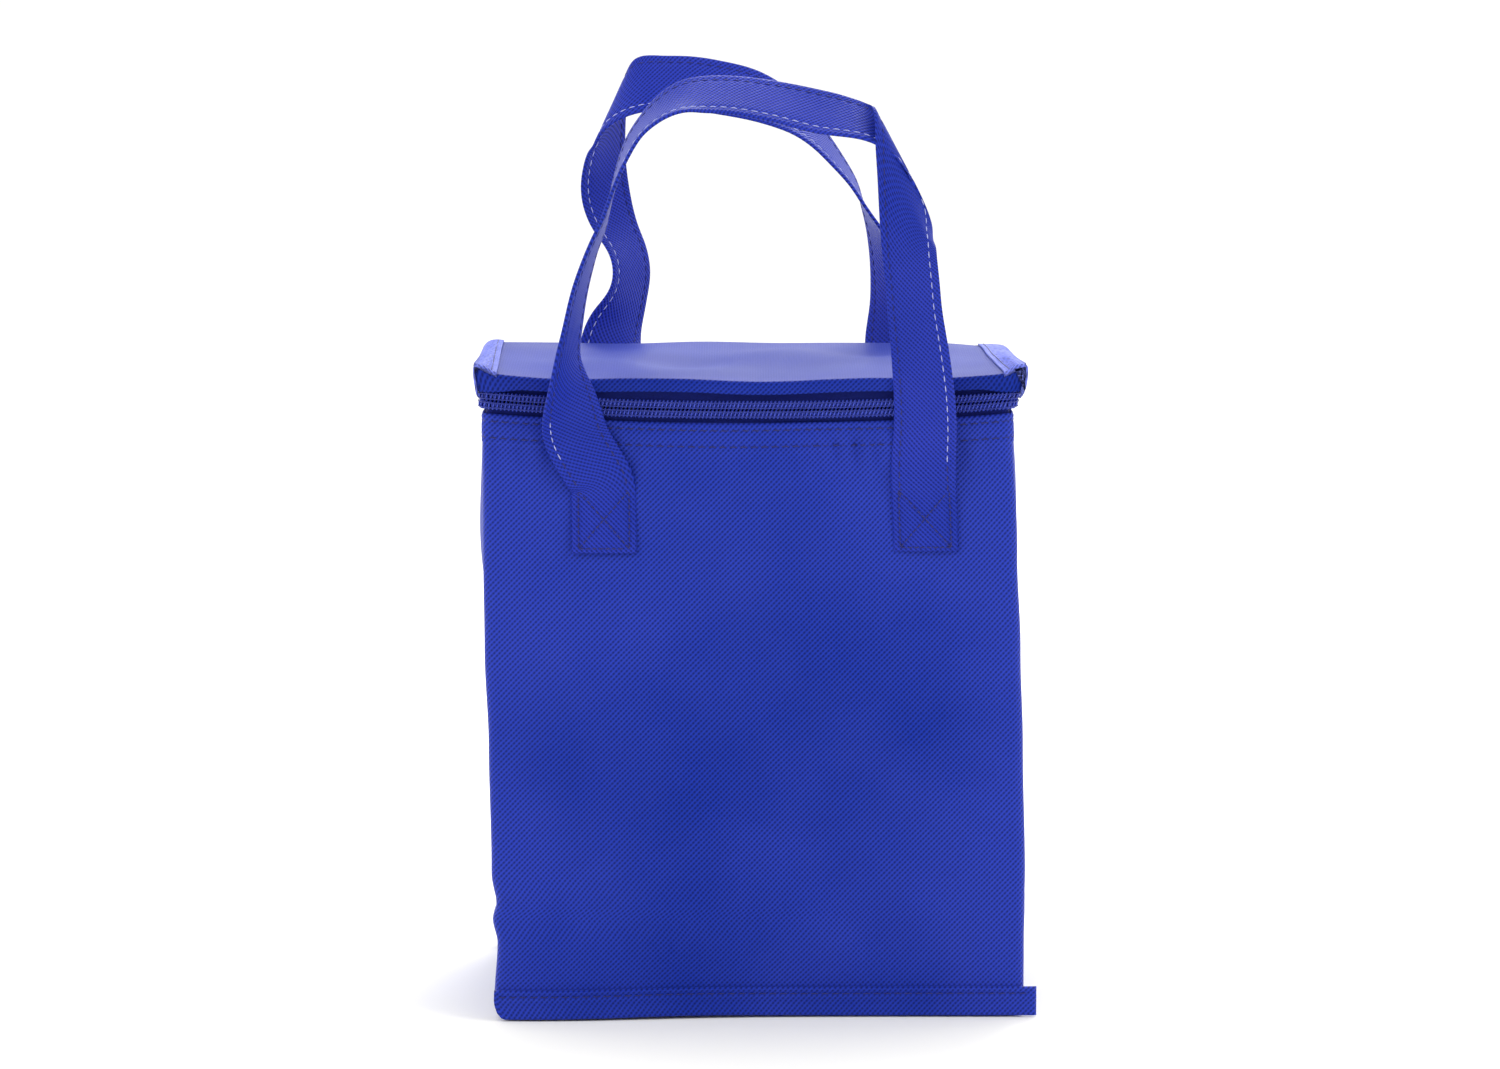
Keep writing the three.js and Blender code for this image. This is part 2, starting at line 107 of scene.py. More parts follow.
# name, place, aim, size, watts
PANELS = (
    ("panel_overhead", (0.0, 0.5, 1.7), (0.0, 0.0, 0.1), 1.2, 5.0),
    ("panel_left", (-1.7, -1.3, 1.2), (0.0, 0.0, 0.2), 0.9, 11.0),
    ("panel_right", (1.7, -1.0, 1.2), (0.0, 0.0, 0.2), 0.9, 10.0),
    ("panel_behind", (0.4, 1.8, 1.6), (0.05, 0.0, 0.28), 1.0, 20.0),
)
for name, place, aim, size, watts in PANELS:
    light = bpy.data.lights.new(name, "AREA")
    light.shape = "DISK"
    light.size = size
    light.energy = watts
    lamp = bpy.data.objects.new(name, light)
    lamp.location = place
    ray = np.array(aim) - np.array(place)
    flat_reach = np.hypot(ray[0], ray[1])
    lamp.rotation_euler = (np.arctan2(flat_reach, -ray[2]), 0, np.arctan2(-ray[0], ray[1]))
    bpy.context.scene.collection.objects.link(lamp)


def linear(red, green, blue):
    """A colour from its 0 to 255 screen values, as the linear values that shaders take."""
    value = np.array([red, green, blue]) / 255
    low = value <= 0.04045
    return (*np.where(low, value / 12.92, ((value + 0.055) / 1.055) ** 2.4), 1.0)


def finish(name, roughness, specular, sheen=0.0, metallic=0.0):
    """A new material: its node tree, and its shader with the steady values set on it."""
    material = bpy.data.materials.new(name)
    material.use_nodes = True
    tree = material.node_tree
    shader = tree.nodes["Principled BSDF"]
    shader.inputs["Roughness"].default_value = roughness
    shader.inputs["Specular IOR Level"].default_value = specular
    shader.inputs["Sheen Weight"].default_value = sheen
    shader.inputs["Sheen Roughness"].default_value = 0.45
    shader.inputs["Metallic"].default_value = metallic
    return material, tree, shader


def node(tree, kind, links=(), **settings):
    """A new node of this kind with its settings and sockets set and its links made."""
    made = tree.nodes.new("ShaderNode" + kind)
    for key, value in settings.items():
        if key in made.inputs:
            made.inputs[key].default_value = value
        else:
            setattr(made, key, value)
    for socket, source in links:
        tree.links.new(source, made.inputs[socket])
    return made


floor_paint, _, floor_shader = finish("floor_paint", roughness=0.9, specular=0.1)
floor_shader.inputs["Base Color"].default_value = (0.99, 0.98, 0.92, 1)
floor_mesh = bpy.data.meshes.new("floor")
# The floor lies a hair below the bag's underside, so that the two never share a plane.
reach, drop = FLOOR_SIZE / 2, 0.0004
floor_corners = [(x * reach, y * reach, -drop) for x, y in ((-1, -1), (1, -1), (1, 1), (-1, 1))]
floor_mesh.from_pydata(floor_corners, [], [(0, 1, 2, 3)])
floor_mesh.materials.append(floor_paint)
floor = bpy.data.objects.new("floor", floor_mesh)
bpy.context.scene.collection.objects.link(floor)
floor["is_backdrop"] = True

# ---- The body cloth ----------------------------------------------------------------------
# One wrap of embossed non-woven polypropylene, sewn to a base piece and turned over at the
# mouth. It stands on its foam wall, leans a little to the right, and its mouth sags in front.
HALF_WIDTH, HALF_DEPTH, BODY_HEIGHT = 107.5, 70.0, 240.0
CLOTH = 1.0
CORNER = 4.0
LEAN_AT = (0, 8, 30, 40, 45, 58, 109, 147, 184, 240, 252)
LEAN_LEFT = (6.2, 4.4, 5.6, 3.6, 5.0, 3.0, 1.8, 0.3, 0.0, 0.2, 0.0)
LEAN_RIGHT = (3.2, 3.2, 3.3, 3.4, 3.5, 3.8, 2.9, 1.8, 0.2, -2.1, 0.0)
HEM_FOOT, HEM_TOP_ROW, HEM_LOW_ROW = 228.4, 237.0, 230.5
FOLD, BELLY, FOOT_OUT, MOUTH_HELD = 4.0, 4.0, 9.0, 4.0
STITCH_PITCH = 4.2
DOT_PITCH = 1.5
CLOTH_ROUGHNESS = 0.44
MILLIMETRE = 0.001


def ramp(value, low, high):
    """0 below low, 1 above high, and a smooth S between them."""
    t = np.clip((value - low) / (high - low), 0, 1)
    return t * t * (3 - 2 * t)


def eased(value, stations, levels):
    """The level at each value, with an S curve from each station to the next."""
    stations, levels = np.array(stations, float), np.array(levels, float)
    i = np.clip(np.searchsorted(stations, value) - 1, 0, len(stations) - 2)
    t = ramp(value, stations[i], stations[i + 1])
    return levels[i] * (1 - t) + levels[i + 1] * t


def bell(value, middle, width):
    """1 at the middle, falling to nothing on both sides."""
    return np.exp(-(((value - middle) / width) ** 2))


def slouch(points):
    """How the sewn bag stands. Sideways: the lean, shared from edge to edge, and a fold line in
    each side wall. Forwards: the crowned front and its low left corner. Both: soft dents made
    of long sine waves. Up: the front corners of the mouth, which hold while its middle sags."""
    x, y, z = points[..., 0], points[..., 1], points[..., 2]
    side = np.clip(x / HALF_WIDTH, -1.05, 1.05)
    front = np.clip((HALF_DEPTH - y) / (2 * HALF_DEPTH), 0, 1.02)
    near, far = ramp(-y, 45, 68), ramp(y, 45, 68)
    edge = ramp(np.abs(x), 88, 106)
    rise = np.sin(pi * np.clip(z / BODY_HEIGHT, 0, 1))
    below_mouth = 1 - ramp(z, 236, 243)
    lean = (
        eased(z, LEAN_AT, LEAN_LEFT) * (1 - side) / 2
        + eased(z, LEAN_AT, LEAN_RIGHT) * (1 + side) / 2
    )
    fold = edge * rise * FOLD * np.exp(-np.abs(y) / 22) * np.sign(x)
    waves = (
        1.2 * np.sin(x / 19 + z / 31 + 1.0)
        + 0.7 * np.sin(x / 12.5 - z / 23 + 0.4)
        + 0.35 * np.sin(x / 8 + z / 9.5 + 2.0)
        + 0.6 * np.sin(y / 11 + z / 17)
    ) * below_mouth * ramp(z, 4, 40)
    waves = waves * (1 - 0.8 * ramp(np.abs(x), 84, 104) * ramp(np.abs(y), 40, 66))
    belly = BELLY * (1 - side**2) * rise**0.8
    corner = FOOT_OUT * bell(side, -0.85, 0.6) * bell(z, 0, 58) + FOOT_OUT * bell(z, 0, 90)
    gathers = 1.5 * np.sin(2 * pi * x / 8.6 + z / 14) * bell(x, 42, 13) * bell(z, 229, 8)
    gathers = gathers + 0.3 * np.sin(2 * pi * x / 11) * bell(z, 225, 7) * below_mouth
    crease = 1.6 * bell(z + 0.25 * (x + HALF_WIDTH), 47.5, 1.8) * bell(x, -HALF_WIDTH, 11)
    moved = np.empty_like(points)
    moved[..., 0] = x + lean - fold + waves * edge * (1 - near) * np.sign(x)
    moved[..., 1] = (
        y - near * (belly + waves + gathers - crease) - corner * front
        + far * (0.6 * belly + waves)
    )
    held = MOUTH_HELD * np.abs(side) ** 2.2 * front * ramp(z, 120, 244)
    lifted = 0.6 * bell(x, -30, 40) * near * (1 - ramp(z, 0, 30))
    moved[..., 2] = z + held + lifted
    return moved


def lengths(path):
    """The length run along a path at each of its points."""
    return np.concatenate([[0], np.cumsum(np.linalg.norm(np.diff(path, axis=0), axis=1))])


def line(start, stop, step):
    """Points from start up to, but not at, stop, one step apart."""
    start, stop = np.array(start, float), np.array(stop, float)
    count = max(int(round(np.linalg.norm(stop - start) / step)), 1)
    return start + (stop - start) * np.arange(count)[:, None] / count


def turn(centre, radius, start):
    """A quarter circle anticlockwise from the start angle, without its last point."""
    angle = radians(start) + np.arange(6) / 6 * pi / 2
    return np.array(centre) + radius * np.stack([np.cos(angle), np.sin(angle)], -1)


def bag_loop(inset, front_step=1.5, other_step=3.2):
    """The bag's plan outline, moved in by inset: a rounded rectangle, anticlockwise from the
    middle of the back. With it, the length run at each point and at the close."""
    a, b, r = HALF_WIDTH - inset, HALF_DEPTH - inset, max(CORNER - inset, 0.8)
    loop = np.vstack([
        line((0, b), (r - a, b), other_step),
        turn((r - a, b - r), r, 90),
        line((-a, b - r), (-a, r - b), other_step),
        turn((r - a, r - b), r, 180),
        line((r - a, -b), (a - r, -b), front_step),
        turn((a - r, r - b), r, 270),
        line((a, r - b), (a, b - r), other_step),
        turn((a - r, b - r), r, 0),
        line((a - r, b), (0, b), other_step),
    ])
    return loop, lengths(np.vstack([loop, loop[:1]]))


def outward(loop, closed=True):
    """The level direction square to the outline at each of its points, away from the bag."""
    if closed:
        along = np.roll(loop, -1, 0) - np.roll(loop, 1, 0)
    else:
        along = np.gradient(loop, axis=0)
    along = along / np.linalg.norm(along, axis=1, keepdims=True)
    return np.stack([along[:, 1], -along[:, 0]], -1)


def build(name, points, faces, uv, material, closed=False, modifiers=()):
    """A piece from its points and its arrays of faces. A closed piece whose faces enclose a
    negative volume is turned right way out."""
    if closed:
        volume = 0.0
        for face in faces:
            first = points[face[:, 0]]
            for k in range(1, face.shape[1] - 1):
                volume += np.einsum(
                    "ij,ij->", first, np.cross(points[face[:, k]], points[face[:, k + 1]])
                )
        if volume < 0:
            faces = [face[:, ::-1] for face in faces]
            uv = None if uv is None else [part[:, ::-1] for part in uv]
    mesh = bpy.data.meshes.new(name)
    corner_points = np.concatenate([face.ravel() for face in faces])
    sizes = np.concatenate([np.full(len(face), face.shape[1]) for face in faces])
    mesh.vertices.add(len(points))
    mesh.vertices.foreach_set("co", (points * MILLIMETRE).ravel())
    mesh.loops.add(len(corner_points))
    mesh.loops.foreach_set("vertex_index", corner_points.astype(np.int32))
    mesh.polygons.add(len(sizes))
    mesh.polygons.foreach_set("loop_start", (np.cumsum(sizes) - sizes).astype(np.int32))
    if uv is not None:
        layer = mesh.uv_layers.new(name="cut")
        layer.data.foreach_set("uv", np.concatenate([part.ravel() for part in uv]) * MILLIMETRE)
    mesh.update(calc_edges=True)
    mesh.validate()
    mesh.shade_smooth()
    mesh.materials.append(material)
    piece = bpy.data.objects.new(name, mesh)
    bpy.context.scene.collection.objects.link(piece)
    for kind, settings in modifiers:
        modifier = piece.modifiers.new(kind.lower(), kind)
        for key, value in settings.items():
            setattr(modifier, key, value)
    return piece


def quads(index, around=False):
    """The faces between each four neighbours in a grid of point numbers. around joins the last
    column to the first."""
    wide = np.concatenate([index, index[..., :1]], -1) if around else index
    corners = (wide[..., :-1, :-1], wide[..., :-1, 1:], wide[..., 1:, 1:], wide[..., 1:, :-1])
    return np.stack(corners, -1).reshape(-1, 4)


def woven_grid(name, grid, u, v, material, around=False, capped=False, modifiers=()):
    """A piece from a grid of points, rows by columns: a face between each four neighbours. u and
    v are the cut cloth's own lengths along the columns and the rows. around joins the last
    column to the first, and capped closes the first and last rows."""
    rows, columns = grid.shape[:2]
    index = np.arange(rows * columns).reshape(rows, columns)
    if around and len(u) == columns:
        u = np.append(u, u[-1] + (u[-1] - u[-2]))
    flat = np.stack(np.broadcast_arrays(np.asarray(u)[None, :], np.asarray(v)[:, None]), -1)
    flat_index = np.arange(flat[..., 0].size).reshape(flat.shape[:2])
    faces = [quads(index, around)]
    uv = [flat.reshape(-1, 2)[quads(flat_index)]]
    if capped:
        faces += [index[:1, ::-1], index[-1:, :]]
        uv += [flat[:1, :columns][:, ::-1], flat[-1:, :columns]]
    return build(name, grid.reshape(-1, 3), faces, uv, material, capped, modifiers)


def upright(plan, rows):
    """A grid of points: the plan's outline, or one outline for each row, at the rows' heights."""
    grid = np.empty((len(rows), plan.shape[-2], 3))
    grid[..., :2] = plan
    grid[..., 2] = rows[:, None]
    return grid


def in_space(plan, height=0.0):
    """Plan points at one height, or plan directions as level ones."""
    return np.column_stack([plan, np.full(len(plan), height)])


def wall(thickness):
    """The setting that gives a surface its thickness, inwards from its outer face."""
    depth = thickness * MILLIMETRE
    return "SOLIDIFY", {"thickness": depth, "offset": -1.0, "use_even_offset": True}


def scaled(tree, source, low=0.0, high=1.0, start=0.0, stop=1.0, kind="LINEAR"):
    """The source, taken from between start and stop to between low and high."""
    made = node(tree, "MapRange", [("Value", source)], interpolation_type=kind)
    names = ("From Min", "From Max", "To Min", "To Max")
    for name, value in zip(names, (start, stop, low, high)):
        made.inputs[name].default_value = value
    return made.outputs[0]


def combine(tree, operation, first, second, clamp=False):
    """Two sources added or multiplied."""
    links = [(0, first), (1, second)]
    return node(tree, "Math", links, operation=operation, use_clamp=clamp).outputs[0]


def tint(tree, factor, dark, light):
    """A colour between two steady ones."""
    return node(tree, "MixRGB", [("Fac", factor)], Color1=dark, Color2=light).outputs[0]


def noise(tree, place, scale, detail):
    """Cloudy noise at the place's coordinates."""
    return node(tree, "TexNoise", [("Vector", place)], Scale=scale, Detail=detail)


def bump(tree, height, strength, distance, under=None):
    """A bump of this height source, on top of another bump where one is given."""
    links = [("Height", height)] + ([("Normal", under)] if under else [])
    return node(tree, "Bump", links, Strength=strength, Distance=distance).outputs[0]


def dress(tree, shader, colour, normal, roughness=None):
    """Links the shader to the sources of its colour, its bump and, if given, its roughness."""
    tree.links.new(colour, shader.inputs["Base Color"])
    tree.links.new(normal, shader.inputs["Normal"])
    if roughness:
        tree.links.new(roughness, shader.inputs["Roughness"])


def bonded_cloth(
    name, deep, pale, sheen, specular, mottle, pitch=DOT_PITCH, dot_depth=0.16, edge_light=0.0
):
    """Spun-bonded cloth: blue fibres pressed together by a lattice of small dots, in slanting
    ridges. The lattice follows the cut cloth's own lengths; the fibres and the faint mottling do
    not. The lattice darkens the colour in its dots and valleys and pales it on its ridges: painted
    shade and highlight. The mottling is the cloth's own uneven tone and also painted shade for
    soft folds. Where asked, painted light pales the colour towards the bag's side edges and its
    mouth."""
    material, tree, shader = finish(name, CLOTH_ROUGHNESS, specular, sheen)
    shader.inputs["Sheen Tint"].default_value = linear(150, 160, 255)
    cut = node(tree, "UVMap", uv_map="cut")
    turned = node(tree, "Mapping", [("Vector", cut.outputs[0])])
    turned.inputs["Rotation"].default_value = (0, 0, pi / 4)
    turned.inputs["Scale"].default_value = (1 / (pitch * MILLIMETRE),) * 3
    dots = node(
        tree, "TexVoronoi", [("Vector", turned.outputs[0])],
        voronoi_dimensions="2D", Scale=1.0, Randomness=0.0,
    )
    pressed = scaled(tree, dots.outputs["Distance"], start=0.12, stop=0.52, kind="SMOOTHSTEP")
    ridges = node(
        tree, "TexWave", [("Vector", turned.outputs[0])], bands_direction="X", Scale=pi / 10
    )
    relief = node(
        tree, "MixRGB", [("Color1", pressed), ("Color2", ridges.outputs["Fac"])], Fac=0.45
    ).outputs[0]
    place = node(tree, "TexCoord").outputs["Object"]
    fibres = noise(tree, place, 1400.0, 3.0).outputs["Fac"]
    # Large soft clouds of deeper and paler colour: the cloth's own uneven tone, and also painted
    # shade and highlight standing in for the soft folds of the walls.
    mottling = scaled(tree, noise(tree, place, mottle, 4.0).outputs["Fac"], start=0.3, stop=0.72)
    parts = node(tree, "SeparateXYZ", [("Vector", place)])
    sideways = node(tree, "Math", [(0, parts.outputs["X"])], operation="ABSOLUTE").outputs[0]
    # Painted light: the colour pales towards the side edges and towards the mouth, where the lamps
    # light the walls more.
    side_edge_light = scaled(tree, sideways, 0.0, edge_light, 0.06, 0.108, "SMOOTHSTEP")
    mouth_light = scaled(tree, parts.outputs["Z"], 0.0, edge_light * 0.7, 0.12, 0.24, "SMOOTHSTEP")
    mottle_and_edge_light = combine(tree, "ADD", combine(tree, "ADD", side_edge_light, mouth_light), mottling, clamp=True)
    hairs = node(tree, "Math", [(0, fibres)], operation="MULTIPLY")
    hairs.inputs[1].default_value = 0.5
    tone_and_edge_light = tint(tree, mottle_and_edge_light, deep, pale)
    fibres_and_edge_light = node(tree, "MixRGB", [("Fac", hairs.outputs[0]), ("Color1", tone_and_edge_light)], Color2=pale)
    # Painted shade and highlight: the colour darkens in the pressed dots and the valleys and pales
    # on the ridges, up to a third above the cloth's own colour.
    shade = scaled(tree, relief, 0.44, 1.36)
    relief_shaded = node(tree, "VectorMath", [(0, fibres_and_edge_light.outputs[0]), (1, shade)], operation="MULTIPLY")
    lattice = bump(tree, relief, 1.0, dot_depth * MILLIMETRE)
    dress(tree, shader, relief_shaded.outputs[0], bump(tree, fibres, 0.5, 0.00005, lattice))
    return material


body_material = bonded_cloth(
    "body_cloth", linear(2, 36, 137), linear(36, 54, 160), sheen=0.1, specular=0.09,
    mottle=12.0, edge_light=0.6,
)

body_rows = np.unique(np.round(np.concatenate([
    np.linspace(0.4, 16, 12), np.linspace(16, 60, 27),
    np.linspace(60, 216, 58), np.linspace(216, BODY_HEIGHT, 44),
]), 2))
body_outline, body_run = bag_loop(0)
body_face = outward(body_outline)
pucker = 0.7 + 0.3 * np.cos(2 * pi * body_run[None, :-1] / STITCH_PITCH)
body_up = body_rows[:, None]
proud = (
    0.45 * ramp(body_up, HEM_FOOT - 0.7, HEM_FOOT + 0.7)
    - 0.5 * (bell(body_up, HEM_TOP_ROW, 0.9) + bell(body_up, HEM_LOW_ROW, 0.9)) * pucker
    - 0.6 * ramp(body_up, BODY_HEIGHT - 1.2, BODY_HEIGHT)
    - 0.9 * (1 - ramp(body_up, 0, 3))
)
body_grid = upright(body_outline + proud[..., None] * body_face, body_rows)
body_cloth = woven_grid(
    "body_cloth", slouch(body_grid), body_run, body_rows, body_material,
    around=True, modifiers=[wall(CLOTH)],
)
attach(body_cloth, "shell")
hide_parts("front_panel", "back_panel", "side_panel_left", "side_panel_right")


def floor_piece(name, inset, level, thickness, material, rings=16):
    """A level piece inside the outline: rings of the outline drawn in towards its middle, with a
    small closing ring there."""
    loop, _ = bag_loop(inset, 3.0, 3.0)
    share = np.linspace(1, 0, rings + 1)[:-1]
    grid = upright(loop * share[:, None, None], np.full(rings, level))
    points = slouch(grid).reshape(-1, 3)
    index = np.arange(rings * len(loop)).reshape(rings, -1)
    faces = [quads(index, around=True), index[-1:]]
    uv = [points[face, :2] for face in faces]
    return build(name, points, faces, uv, material, modifiers=[wall(thickness)])


base_cloth = floor_piece("base_cloth", 1.6, level=CLOTH, thickness=CLOTH, material=body_material)
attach(base_cloth, "shell")
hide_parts("base_panel")

# ---- The foam wall -----------------------------------------------------------------------
# White expanded polyethylene foam, cut for the four walls and the floor, with a foam sheet in
# the lid too. It is loose between the outer cloth and the lining, and stands the bag up.
FOAM_INSET, FOAM = 1.4, 2.8
FOAM_TOP = 227.0

foam_material, foam_tree, foam_shader = finish("white_foam", roughness=0.8, specular=0.2)
foam_place = node(foam_tree, "TexCoord").outputs["Object"]
foam_cells = node(foam_tree, "TexVoronoi", [("Vector", foam_place)], Scale=700.0)
foam_depth = foam_cells.outputs["Distance"]
dress(
    foam_tree, foam_shader,
    tint(foam_tree, foam_depth, linear(236, 236, 238), linear(214, 216, 222)),
    bump(foam_tree, foam_depth, 0.5, 0.0002),
)

foam_outline, foam_run = bag_loop(FOAM_INSET, 3.0)
foam_rows = np.linspace(5.0, FOAM_TOP, 70)
foam_grid = upright(foam_outline, foam_rows)
foam_wall = woven_grid(
    "foam_wall", slouch(foam_grid), foam_run, foam_rows, foam_material,
    around=True, modifiers=[wall(FOAM)],
)
foam_floor = floor_piece(
    "foam_floor", FOAM_INSET, level=4.3, thickness=2.9, material=foam_material
)
wall_foam_nodes = [
    place + "_insulation" + end
    for place, end in (("front", ""), ("back", ""), ("side", "_left"), ("side", "_right"))
]
for piece, nodes in ((foam_wall, wall_foam_nodes), (foam_floor, ["base_insulation"])):
    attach(piece, "shell")
    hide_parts(*nodes)

# ---- The foil lining ---------------------------------------------------------------------
# Silvered plastic film that lines the whole inside, welded at its corners and sewn in with the
# mouth. It is thin and springy, so it keeps sharp little creases from folding.
FOIL_INSET, FOIL = 4.8, 0.35
FOIL_FOOT, FOIL_TOP = 4.75, 238.0

foil_material, foil_tree, foil_shader = finish(
    "silver_film", roughness=0.26, specular=0.5, metallic=1.0
)
foil_place = node(foil_tree, "TexCoord").outputs["Object"]
foil_bend = noise(foil_tree, foil_place, 30.0, 2.0)
foil_warp = node(
    foil_tree, "VectorMath", [(0, foil_bend.outputs["Color"]), (2, foil_place)],
    operation="MULTIPLY_ADD",
)
foil_warp.inputs[1].default_value = (0.03, 0.03, 0.03)
foil_facets = node(
    foil_tree, "TexVoronoi", [("Vector", foil_warp.outputs[0])],
    feature="DISTANCE_TO_EDGE", Scale=75.0,
)
foil_fold = scaled(foil_tree, foil_facets.outputs["Distance"], stop=0.3)
foil_fine = noise(foil_tree, foil_place, 160.0, 4.0).outputs["Fac"]
foil_creases = bump(foil_tree, foil_fold, 0.7, 0.0008)
dress(
    foil_tree, foil_shader,
    tint(foil_tree, foil_bend.outputs["Fac"], linear(196, 200, 206), linear(228, 230, 234)),
    bump(foil_tree, foil_fine, 0.5, 0.0005, foil_creases),
)


def crinkle(a, b):
    """Small creases in film: folded sine waves in three directions, all to one side, up to
    half a millimetre deep."""
    first = np.abs(np.sin(a / 5.3 + 0.8 * np.sin(b / 13)))
    second = np.abs(np.sin(b / 6.1 + a / 17 + 1.1 * np.sin(a / 9)))
    third = np.abs(np.sin((a + b) / 4.1 + 0.7 * np.sin(b / 7)))
    return 0.2 * (first + second + 0.6 * third)


foil_outline, foil_run = bag_loop(FOIL_INSET, 2.2, 2.6)
foil_rows = np.linspace(FOIL_FOOT, FOIL_TOP, 105)
foil_crease = crinkle(foil_run[None, :-1], foil_rows[:, None])
foil_crease = foil_crease * ramp(foil_rows, FOIL_FOOT, 12)[:, None]
foil_grid = upright(foil_outline - foil_crease[..., None] * outward(foil_outline), foil_rows)
foil_wall = woven_grid(
    "foil_wall", slouch(foil_grid), foil_run, foil_rows, foil_material,
    around=True, modifiers=[wall(FOIL)],
)
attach(foil_wall, "shell")
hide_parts("front_lining", "back_lining", "side_lining_left", "side_lining_right")
foil_floor = floor_piece(
    "foil_floor", FOIL_INSET + 0.5, level=5.0, thickness=FOIL, material=foil_material, rings=24
)
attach(foil_floor, "shell")
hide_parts("base_lining")

# ---- The mouth's stitching ---------------------------------------------------------------
# Two rows of lockstitch run right round the turned-over mouth. The upper one also holds the
# zip tape and the lining. The thread is polyester, a shade deeper than the cloth.
THREAD_RADIUS = 0.27
ROW_OFFSET = 0.12
STITCH_LENGTH = 3.0


def thread_material(name, colour):
    """Twisted sewing thread: fine slanting ply lines in its surface, and in its colour as painted
    shade in the grooves between the plies and painted highlight on them.
    """
    material, tree, shader = finish(name, roughness=0.5, specular=0.3, sheen=0.2)
    place = node(tree, "TexCoord").outputs["Object"]
    ply = node(
        tree, "TexWave", [("Vector", place)],
        bands_direction="DIAGONAL", Scale=900.0, Distortion=1.0,
    ).outputs["Fac"]
    relief_shaded = node(tree, "VectorMath", [(1, scaled(tree, ply, 0.75, 1.1))], operation="MULTIPLY")
    relief_shaded.inputs[0].default_value = colour[:3]
    dress(tree, shader, relief_shaded.outputs[0], bump(tree, ply, 0.6, 0.0001))
    return material


dark_thread = thread_material("thread_dark", linear(26, 30, 108))
light_thread = thread_material("thread_light", linear(176, 182, 236))


def unit(vectors):
    """Each vector at length one."""
    return vectors / np.maximum(np.linalg.norm(vectors, axis=-1, keepdims=True), 1e-9)


def stitches(name, start, stop, lift, material, radius=THREAD_RADIUS, around=6, along=7):
    """Sewn stitches, one from each start to its stop: a thread that comes up out of the cloth,
    bows along the lift, goes down again, and closes at both ends."""
    t = np.linspace(0, 1, along)
    swell = radius * np.sqrt(np.clip(np.sin(pi * (0.06 + 0.88 * t)), 0, 1))
    axis, lift = unit(stop - start), unit(lift)
    cross = unit(np.cross(axis, lift))
    up = np.cross(cross, axis)
    centre = start[:, None] + (stop - start)[:, None] * t[None, :, None]
    centre = centre + lift[:, None] * (0.55 * radius * np.sin(pi * t))[None, :, None]
    angle = np.arange(around) * 2 * pi / around
    ring = cross[:, None, None] * np.cos(angle)[None, None, :, None]
    ring = ring + up[:, None, None] * np.sin(angle)[None, None, :, None]
    points = (centre[:, :, None] + ring * swell[None, :, None, None]).reshape(-1, 3)
    index = np.arange(len(start) * along * around).reshape(len(start), along, around)
    faces = [quads(index, around=True), index[:, 0, ::-1], index[:, -1]]
    return build(name, points, faces, None, material, closed=True)


def sewn_row(path, lift, pitch=STITCH_PITCH, length=STITCH_LENGTH, skip=0.0):
    """The starts, stops and lifts of evenly spaced stitches along a path of points."""
    run = lengths(path)
    begin = np.arange(skip, run[-1] - length, pitch)

    def at(values, where):
        return np.stack([np.interp(where, run, values[:, k]) for k in range(3)], -1)

    return at(path, begin), at(path, begin + length), at(lift, begin + length / 2)


def joined(rows):
    """Several rows of stitches as one set."""
    return [np.concatenate(parts) for parts in zip(*rows)]


def mouth_row(height):
    """A row of stitches right round the body, lying just clear of its outer face."""
    path = slouch(in_space(body_outline + ROW_OFFSET * body_face, height))
    lift = in_space(body_face)
    return sewn_row(np.vstack([path, path[:1]]), np.vstack([lift, lift[:1]]))


mouth_rows = joined([mouth_row(HEM_TOP_ROW), mouth_row(HEM_LOW_ROW)])
mouth_stitches = stitches("mouth_stitches", *mouth_rows, dark_thread)
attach(mouth_stitches, "shell")

# ---- The bottom seam bands ---------------------------------------------------------------
# Along the foot of the front and the back the base cloth's edge is folded up and sewn down as
# a band twelve millimetres high. Each band runs past one corner, where its end stands out as a
# tab.
BAND_LOW, BAND_HIGH, BAND_THICK = 0.05, 12.0, 1.5
BAND_END, TAB = 107.5, 5.0
BAND_SEAM = 2.6
BAND_ROUND, BAND_CORNER = 0.8, 3

band_width = BAND_HIGH - BAND_LOW
band_across = np.concatenate([
    np.linspace(0, 1, 6) * 0.5, np.linspace(0.7, band_width - 0.7, 26),
    band_width - 0.5 + np.linspace(0, 1, 6) * 0.5,
])


